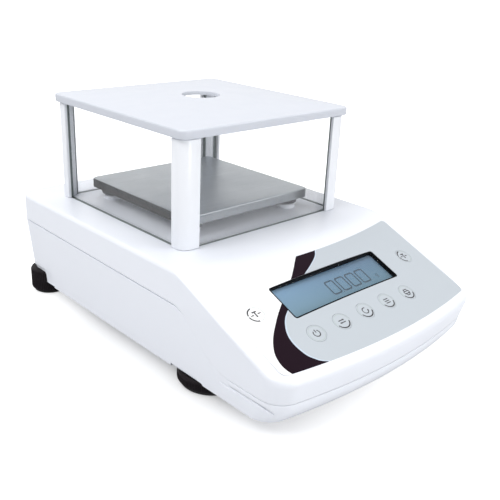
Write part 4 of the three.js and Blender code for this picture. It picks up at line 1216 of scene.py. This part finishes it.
board_material = board_green("circuit_board")
surfaced(nodes["keypad_board"], board_material)
surfaced(nodes["main_board"], board_material)
switch_black = moulded("switch_black", (0.02, 0.02, 0.022), 0.45, shift=0.2, relief=0.1)
for name in key_names:
    surfaced(nodes["switch_" + name], switch_black)
ribbon_film = striped("ribbon_film", (0.42, 0.42, 0.40), (0.62, 0.61, 0.58), 0.0012, "X")
surfaced(nodes["display_ribbon"], ribbon_film)

# Load cell: a milled aluminium bar on a block at its rear end, bolts through both ends and a stop under
# the free end. The case screws are of the same plated steel as its bolts.
cell_metal = striped("milled_aluminium", (0.52, 0.53, 0.55), (0.60, 0.61, 0.63), 0.0008, "Y",
                     roughness=0.34, metallic=1.0, relief=0.1)
bolt_steel = moulded("zinc_plated_steel", (0.50, 0.51, 0.53), 0.28, shift=0.08, metallic=1.0)
for name in ("load_cell", "load_cell_block"):
    surfaced(nodes[name], cell_metal)
for name in ("overload_stop", "load_cell_bolt_left", "load_cell_bolt_right", "carrier_bolt_left",
             "carrier_bolt_right", "case_screw_1", "case_screw_2", "case_screw_3", "case_screw_4"):
    surfaced(nodes[name], bolt_steel)

# Rear sockets: a black power socket with a round mouth and centre pin, and a data port with a plated
# shell and nine gilt pins in two rows. The pins are one mesh, repeated on the port's own points.
surfaced(nodes["power_inlet"], moulded("socket_black", (0.022, 0.022, 0.024), 0.4, shift=0.2, relief=0.1))
surfaced(nodes["data_port"], moulded("plated_shell", (0.55, 0.56, 0.58), 0.3, shift=0.06, metallic=1.0))

port_x, port_z = middle_of(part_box("data_port"), 0, 2)
pin_pitch = 2.77
pin_row_gap = 2.84
pin_root = 153.6
pin_length = 5.2
pin_radius = 0.5


def repeated(name, part, points, material):
    """One mesh set on each of a list of points, as a plain mesh."""
    carrier_mesh = mesh_object(name, points, [])
    tree = bpy.data.node_groups.new(name + "_nodes", "GeometryNodeTree")
    kinds = {"Points": "Geometry", "Part": "Object", "Part size": "Float", "Surface": "Material"}
    sockets = {}
    for label, kind in kinds.items():
        sockets[label] = tree.interface.new_socket(label, in_out="INPUT", socket_type="NodeSocket" + kind)
    tree.interface.new_socket("Geometry", in_out="OUTPUT", socket_type="NodeSocketGeometry")
    given = add_node(tree, "NodeGroupInput").outputs
    source = add_node(tree, "GeometryNodeObjectInfo", {"Object": given["Part"]})
    spread = add_node(tree, "GeometryNodeInstanceOnPoints", {
        "Points": given["Points"], "Instance": source.outputs["Geometry"], "Scale": given["Part size"],
    })
    real = add_node(tree, "GeometryNodeRealizeInstances", {"Geometry": spread})
    paint = add_node(tree, "GeometryNodeSetMaterial", {"Geometry": real, "Material": given["Surface"]})
    add_node(tree, "NodeGroupOutput", {"Geometry": paint})
    steps = carrier_mesh.modifiers.new("repeat", "NODES")
    steps.node_group = tree
    for label, value in (("Part", part), ("Part size", 1.0), ("Surface", material)):
        steps[sockets[label].identifier] = value
    bake_modifiers(carrier_mesh)
    drop_object(part)
    return carrier_mesh


pin = turned("port_pin", [
    (0, 0), (pin_radius, 0), (pin_radius, pin_length - 0.5), (pin_radius * 0.7, pin_length - 0.12),
    (0, pin_length),
], 14)
placed(pin, Matrix.Rotation(math.radians(-90), 4, "X"))
pin_points = []
for row, count in ((0.5, 5), (-0.5, 4)):
    for place in range(count):
        across = (place - (count - 1) / 2) * pin_pitch
        pin_points.append((port_x + across, pin_root, port_z + row * pin_row_gap))
gilt = moulded("gilt_pins", (0.78, 0.60, 0.26), 0.3, shift=0.06, metallic=1.0)
port_pins = repeated("data_port_pins", pin, pin_points, gilt)
smooth_faces(port_pins)
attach(port_pins, "case")

# Bubble level: a round clear capsule set flush in the rear right corner, with a yellow-green fluid, a
# printed centring ring and one bubble.
capsule = turned("level_capsule", [
    (0, 78.6), (6.9, 78.6), (6.98, 78.8), (6.98, 86.4), (6.8, 86.72), (6.0, 86.74), (5.75, 86.5), (0, 86.5),
], 64, vial_place)
surfaced(capsule, moulded("level_housing", (0.03, 0.03, 0.032), 0.4, shift=0.2))
fluid = turned("level_fluid", [
    (0, 86.505), (5.6, 86.505), (5.6, 86.56), (4.2, 86.68), (2.2, 86.76), (0, 86.78),
], 64, vial_place)
surfaced(fluid, moulded("level_fluid_green", (0.42, 0.62, 0.06), 0.08, shift=0.08, relief=0.0))
bubble = turned("level_bubble", [
    (0, 86.765), (1.5, 86.75), (1.62, 86.765), (1.45, 86.785), (0, 86.795),
], 32, (vial_place[0] + 0.4, vial_place[1] - 0.3))
surfaced(bubble, moulded("level_bubble_air", (0.72, 0.86, 0.40), 0.05, shift=0.05, relief=0.0))
circle = turned("level_circle", [(2.5, 86.74), (2.7, 86.735), (2.7, 86.79), (2.5, 86.79)], 48, vial_place)
surfaced(circle, moulded("level_circle_ink", (0.02, 0.02, 0.02), 0.5, shift=0.2))
join_into(capsule, [fluid, bubble, circle])
smooth_faces(capsule)
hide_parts("level_vial")
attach(capsule, "case")

# Pan carrier: an aluminium casting that stands on the load cell, with black rubber pads on its four
# supports. Each pad is a cap pushed over the support, with a wide skirt.
cast_aluminium = moulded(
    "cast_aluminium", (0.50, 0.51, 0.53), 0.5, shift=0.1, grain=700, relief=0.2, metallic=1.0)
surfaced(nodes["pan_carrier"], cast_aluminium)
pad_rubber = moulded("pad_rubber", (0.018, 0.018, 0.020), 0.7, shift=0.2, grain=1500, relief=0.2)
pad_skirt = 9.2
pad_bore = 4.4
pad_drop = 0.6
for corner_name in foot_places:
    pad_low, pad_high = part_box("pan_pad_" + corner_name)
    foot, head = pad_low[2] * 1000 - pad_drop, pad_high[2] * 1000
    pan_pad = turned("pan_pad_rubber_" + corner_name, [
        (0, head), (5.6, head), (6.0, head - 0.4), (6.4, foot + 5.4), (pad_skirt - 0.5, foot + 4.8),
        (pad_skirt, foot + 4.2), (pad_skirt, foot + 1.4), (pad_skirt - 0.3, foot + 0.9), (7, foot),
        (pad_bore, foot), (pad_bore, foot + 4.4), (0, foot + 4.4),
    ], 48, middle_of((pad_low, pad_high)))
    surfaced(pan_pad, pad_rubber)
    smooth_faces(pan_pad)
    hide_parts("pan_pad_" + corner_name)
    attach(pan_pad, "carrier")

# Weighing pan: a square of stainless steel sheet, with its rim drawn down all round and its top ground
# with a fine belt from side to side.
pan_low, pan_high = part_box("weighing_pan")
pan_inset = 1
pan_half = (pan_high[0] - pan_low[0]) * 500 - pan_inset
pan_top = pan_high[2] * 1000
pan_flange = 7.4
pan_sheet = 0.9
pan_corner = 5
pan_edge = 1.2
pan_middle = 30
pan_lip = 0.15
bend_start, bend_soft = 0.35, 0.5


def ground_steel(name):
    """Steel ground across its width, with long fine marks along X; its left rim is painted near black and
    its front rim darker, as painted shade where the rim turns away from the light.
    """
    material = moulded(name, (0.40, 0.42, 0.44), 0.34, shift=0.02, relief=0.0, metallic=1.0)
    tree, shader, _, where = opened(material)
    stretch = add_node(tree, "ShaderNodeMapping", {"Scale": (14, 900, 900), "Vector": where})
    marks = noise(tree, stretch.outputs["Vector"], 1.0)
    shade = tinted(tree, ranged(tree, marks, 0, 1), (0.40, 0.43, 0.46), (0.45, 0.48, 0.51))
    # Painted shade: by place alone, the left rim goes near black and the front rim a darker grey.
    painted_shade_left_rim = past(tree, along(tree, where, "X", -1000), pan_half - bend_start, bend_soft)
    painted_shade_front_rim = past(tree, along(tree, where, "Y", -1000), pan_half - shield_y - bend_start, bend_soft)
    shade = tinted(tree, painted_shade_front_rim, shade, (0.29, 0.31, 0.33))
    set_inputs(tree, shader, {"Base Color": tinted(tree, painted_shade_left_rim, shade, (0.035, 0.037, 0.04))})
    return material


def pan_ring(inset, height):
    half, corner = pan_half - inset, max(pan_corner - inset, 0.4)
    ring = side_points(rounded_ring(half, half, corner, 0, (0, shield_y)), 12, 12)
    return [(x, y, pan_top + height) for x, y, _ in ring]


pan_rings = [
    pan_ring(pan_middle, -pan_sheet), pan_ring(pan_sheet + pan_edge, -pan_sheet),
    pan_ring(pan_sheet + 0.3, -pan_sheet - 0.25), pan_ring(pan_sheet, -pan_sheet - 0.8),
    pan_ring(pan_sheet, pan_lip - pan_flange), pan_ring(pan_sheet - pan_lip, -pan_flange),
    pan_ring(pan_lip, -pan_flange), pan_ring(0, pan_lip - pan_flange),
]
for turn in quarter_turn(6):
    pan_rings.append(pan_ring(pan_edge * (1 - math.cos(turn)), pan_edge * (math.sin(turn) - 1)))
pan_rings += [pan_ring(pan_edge + 1.5, 0), pan_ring(pan_middle, 0)]
weighing_pan = lofted("weighing_pan_sheet", pan_rings)
smooth_faces(weighing_pan)
surfaced(weighing_pan, ground_steel("belt_ground_steel"))
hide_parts("weighing_pan")
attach(weighing_pan, "pan")

# Shield posts: four white corner posts, moulded as an angle round the ends of the panes, each with a pin
# down into the cover and a peg up into the lid.
lid_half = (shield_high[0] - shield_low[0]) * 500
post_face = lid_half - 2
post_leg = 15
post_side_leg = 13
post_radius = 8
post_foot = 86.8
post_top = 164.3
rebate_out = post_face - 2.5
rebate_in = post_face - 6.1
rebate_depth = 3.3
pin_profile = [(0, 84.5), (1.6, 84.5), (1.98, 84.9), (1.98, 87.6), (0, 87.6)]
peg_profile = [(0, 163.8), (2.38, 163.8), (2.38, 166.3), (2, 166.75), (0, 166.75)]
post_white = moulded("post_white_plastic", (0.84, 0.86, 0.90), 0.33, shift=0.015, relief=0.03)

leg_end, side_leg_end = post_face - post_leg, post_face - post_side_leg
post_outline = [
    (leg_end, post_face), (leg_end, rebate_out), (leg_end + rebate_depth, rebate_out),
    (leg_end + rebate_depth, rebate_in), (rebate_in, side_leg_end + rebate_depth),
    (rebate_out, side_leg_end + rebate_depth), (rebate_out, side_leg_end), (post_face, side_leg_end),
]
post_outline += [(post_face - post_radius + post_radius * math.cos(turn),
                  post_face - post_radius + post_radius * math.sin(turn)) for turn in quarter_turn(12)]
for corner_name, (x, y) in foot_places.items():
    side_x, side_y = math.copysign(1, x), math.copysign(1, y)
    outline = [(side_x * across, shield_y + side_y * along_y) for across, along_y in post_outline]
    rings = [[(*spot, height) for spot in outline] for height in (post_foot, post_top)]
    post = lofted("post_" + corner_name, rings)
    soften(post, 0.35, 50)
    ends = []
    for profile, reach in ((pin_profile, pane_middle), (peg_profile, rebate_in)):
        ends.append(turned("post_end", profile, 24, (side_x * reach, shield_y + side_y * reach)))
    join_into(post, ends)
    smooth_faces(post)
    surfaced(post, post_white)
    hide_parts("shield_post_" + corner_name)
    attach(post, "shield")

# Panes: four sheets of clear float glass, 3 mm thick with ground edges, standing in grooves of the cover.
# The faces are clear; the edges are dark grey-green, partly the glass's own green and partly painted shade
# of the grooves they stand in.
pane_clear = clear_sheet("pane_clear", (0.997, 0.998, 0.998), 0.14)
# Painted shade: the ground edges are darkened for the shade in the cover's grooves, on top of the glass's
# green.
pane_edge_painted_shade = moulded("pane_ground_edge_painted_shade", (0.17, 0.20, 0.20), 0.35, shift=0.15, grain=900, relief=0.1)
pane_arris = 0.35
pane_thickness = 3


def pane_body(name, low, high):
    """A sheet with its long edges taken off; its two broad faces look along its thinnest side."""
    low, high = Vector(low) * 1000, Vector(high) * 1000
    thin = 0 if high.x - low.x < high.y - low.y else 1
    wide = 1 - thin
    rings = []
    sides = (0, pane_arris, pane_thickness - pane_arris, pane_thickness)
    for inset, depth in zip((pane_arris, 0, 0, pane_arris), sides):
        left, right, foot, head = low[wide] + inset, high[wide] - inset, low.z + inset, high.z - inset
        ring = []
        for across, height in ((left, foot), (right, foot), (right, head), (left, head)):
            spot = [0, 0, height]
            spot[thin] = low[thin] + depth
            spot[wide] = across
            ring.append(tuple(spot))
        rings.append(ring)
    sheet = lofted(name, rings)
    sheet.data.materials.append(pane_clear)
    sheet.data.materials.append(pane_edge_painted_shade)
    for polygon in sheet.data.polygons:
        polygon.material_index = 0 if abs(polygon.normal[thin]) > 0.95 else 1
    return sheet


for side_name in ("front", "back", "left", "right"):
    pane = pane_body("pane_" + side_name, *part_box("glass_" + side_name))
    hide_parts("glass_" + side_name)
    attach(pane, "shield")

# Lid: one moulding in plastic, with a low crown that rises to the round hole in its middle. Its grey is
# painted shade: it is set darker than the case's white so that its top looks dimly lit. It lies loose on
# the pegs of the four posts.
lid_low = shield_low[2] * 1000
lid_top = lid_low + 6.4
lid_crown = 4
lid_plate = 3
lid_corner = 7
lid_rim = 4
lid_hole = 15
lid_edge = 1.4


def lid_square(inset, height):
    half, corner = lid_half - inset, max(lid_corner - inset * 0.5, 1)
    ring = side_points(rounded_ring(half, half, corner, 0, (0, shield_y)), 22, 22)
    return [(x, y, height) for x, y, _ in ring]


lid_turns = [math.atan2(y - shield_y, x) for x, y, _ in lid_square(lid_edge, 0)]


def lid_round(radius, height):
    return [(radius * math.cos(turn), shield_y + radius * math.sin(turn), height) for turn in lid_turns]


def lid_blend(inset, share, floor):
    """A ring part of the way from the lid's outline to its hole, on the crown above a floor."""
    height = floor + lid_crown * (1 - (1 - share) ** 2)
    outer, inner = lid_square(inset, 0), lid_round(lid_hole, 0)
    return [(ax + (bx - ax) * share, ay + (by - ay) * share, height)
            for (ax, ay, _), (bx, by, _) in zip(outer, inner)]


crown_shares = list(np.linspace(0, 0.985, 24)[1:])
lid_rings = [lid_square(0.7, lid_low), lid_square(0.2, lid_low + 0.2), lid_square(0, lid_low + 0.7)]
for turn in quarter_turn(6):
    lid_rings.append(lid_square(lid_edge * (1 - math.cos(turn)), lid_top - lid_edge * (1 - math.sin(turn))))
lid_rings += [lid_blend(lid_edge, share, lid_top) for share in crown_shares]
crown_top = lid_top + lid_crown
lid_rings += [lid_round(lid_hole + 0.12, crown_top - 0.12), lid_round(lid_hole, crown_top - 0.4),
              lid_round(lid_hole, crown_top - lid_plate)]
lid_rings += [lid_blend(lid_rim, share, lid_top - lid_plate) for share in reversed(crown_shares[:-1])]
lid_rings += [lid_square(lid_rim, lid_top - lid_plate), lid_square(lid_rim, lid_low + 0.3),
              lid_square(lid_rim - 0.3, lid_low)]
shield_cover = lofted("shield_lid_moulding", lid_rings, loop=True)
smooth_faces(shield_cover)
# Painted shade: the lid's colour is darker than the case's white so that its top looks dim.
surfaced(shield_cover, moulded("lid_plastic_painted_shade", (0.60, 0.625, 0.685), 0.36, shift=0.012, relief=0.02))
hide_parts("shield_lid")
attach(shield_cover, "lid")

# Levelling feet: dark plum thumb wheels, moulded with fine grip ribs round a threaded steel stud, each
# over a black rubber pad. The front pair is broad and flat, the rear pair tall.
wheel_low = 2.3
stud_radius = 4
thread_pitch = 1.25
thread_depth = 0.65
rib_radius = 0.42
rib_sunk = 0.03
rib_stand = 0.4
wheel_under = 1.2
wheel_plum = moulded(
    "wheel_plum_plastic", (0.009, 0.006, 0.008), 0.5, shift=0.2, grain=1600, relief=0.08, specular=0.12)
foot_rubber = moulded("foot_rubber", (0.015, 0.015, 0.016), 0.75, shift=0.2, grain=1200, relief=0.25)
foot_sizes = {
    "front": {"radius": 25, "height": 8.6, "stud": 30, "ribs": 120, "rim": 2.6},
    "back": {"radius": 16, "height": 18.5, "stud": 20, "ribs": 64, "rim": 1.2},
}


def wheel_profile(body_radius, rim, high, stud_top):
    """Half the section of a thumb wheel and its stud: rounded under, rounded over, then up the thread."""
    profile = [(0, wheel_low), (body_radius - rim, wheel_low)]
    for turn in quarter_turn(5)[1:]:
        profile.append((body_radius - rim + rim * math.sin(turn),
                        wheel_low + wheel_under * (1 - math.cos(turn))))
    for turn in quarter_turn(5):
        profile.append((body_radius - rim * (1 - math.cos(turn)), high - rim * (1 - math.sin(turn))))
    profile += [(stud_radius + 3, high), (stud_radius + 2.6, high - 0.5), (stud_radius + 0.6, high - 0.5),
                (stud_radius, high)]
    for thread in range(int((stud_top - high - 1.5) / thread_pitch)):
        height = high + 0.3 + thread * thread_pitch
        profile += [(stud_radius - thread_depth, height), (stud_radius, height + thread_pitch / 2)]
    return profile + [(stud_radius - 0.9, stud_top), (0, stud_top)]


for corner_name, (x, y) in foot_places.items():
    size = foot_sizes[corner_name.split("_")[0]]
    body_radius = size["radius"] - rib_stand
    high = wheel_low + size["height"]
    profile = wheel_profile(body_radius, size["rim"], high, high + size["stud"])
    wheel = turned("wheel_" + corner_name, profile, 96, (x, y))
    wheel.data.materials.append(wheel_plum)
    wheel.data.materials.append(bolt_steel)
    for polygon in wheel.data.polygons:
        away = math.hypot(polygon.center.x * 1000 - x, polygon.center.y * 1000 - y)
        on_stud = polygon.center.z * 1000 > high - 0.2 and away < stud_radius + 0.3
        polygon.material_index = 1 if on_stud else 0
    rib_top = high - size["rim"]
    rib = turned("wheel_rib", [
        (0, wheel_low + 1), (rib_radius * 0.6, wheel_low + 1.05), (rib_radius, wheel_low + 1.5),
        (rib_radius, rib_top - 0.5), (rib_radius * 0.6, rib_top - 0.05), (0, rib_top),
    ], 10)
    reach = body_radius - rib_sunk
    rib_points = [(x + reach * math.cos(turn), y + reach * math.sin(turn), 0)
                  for turn in full_turn(size["ribs"])]
    join_into(wheel, [repeated("wheel_ribs_" + corner_name, rib, rib_points, wheel_plum)])
    smooth_faces(wheel, 50)
    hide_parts("foot_wheel_" + corner_name)
    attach(wheel, "wheel_" + corner_name)

    pad_radius = size["radius"] - 2
    hollow = pad_radius * 0.4
    pad = turned("foot_pad_rubber_" + corner_name, [
        (0, 0.3), (hollow, 0.3), (hollow + 0.3, 0), (pad_radius - 1, 0), (pad_radius - 0.3, 0.3),
        (pad_radius, 1), (pad_radius, 1.7), (pad_radius - 0.3, 2), (0, 2),
    ], 72, (x, y))
    surfaced(pad, foot_rubber)
    smooth_faces(pad)
    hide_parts("foot_pad_" + corner_name)
    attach(pad, "foot_" + corner_name)
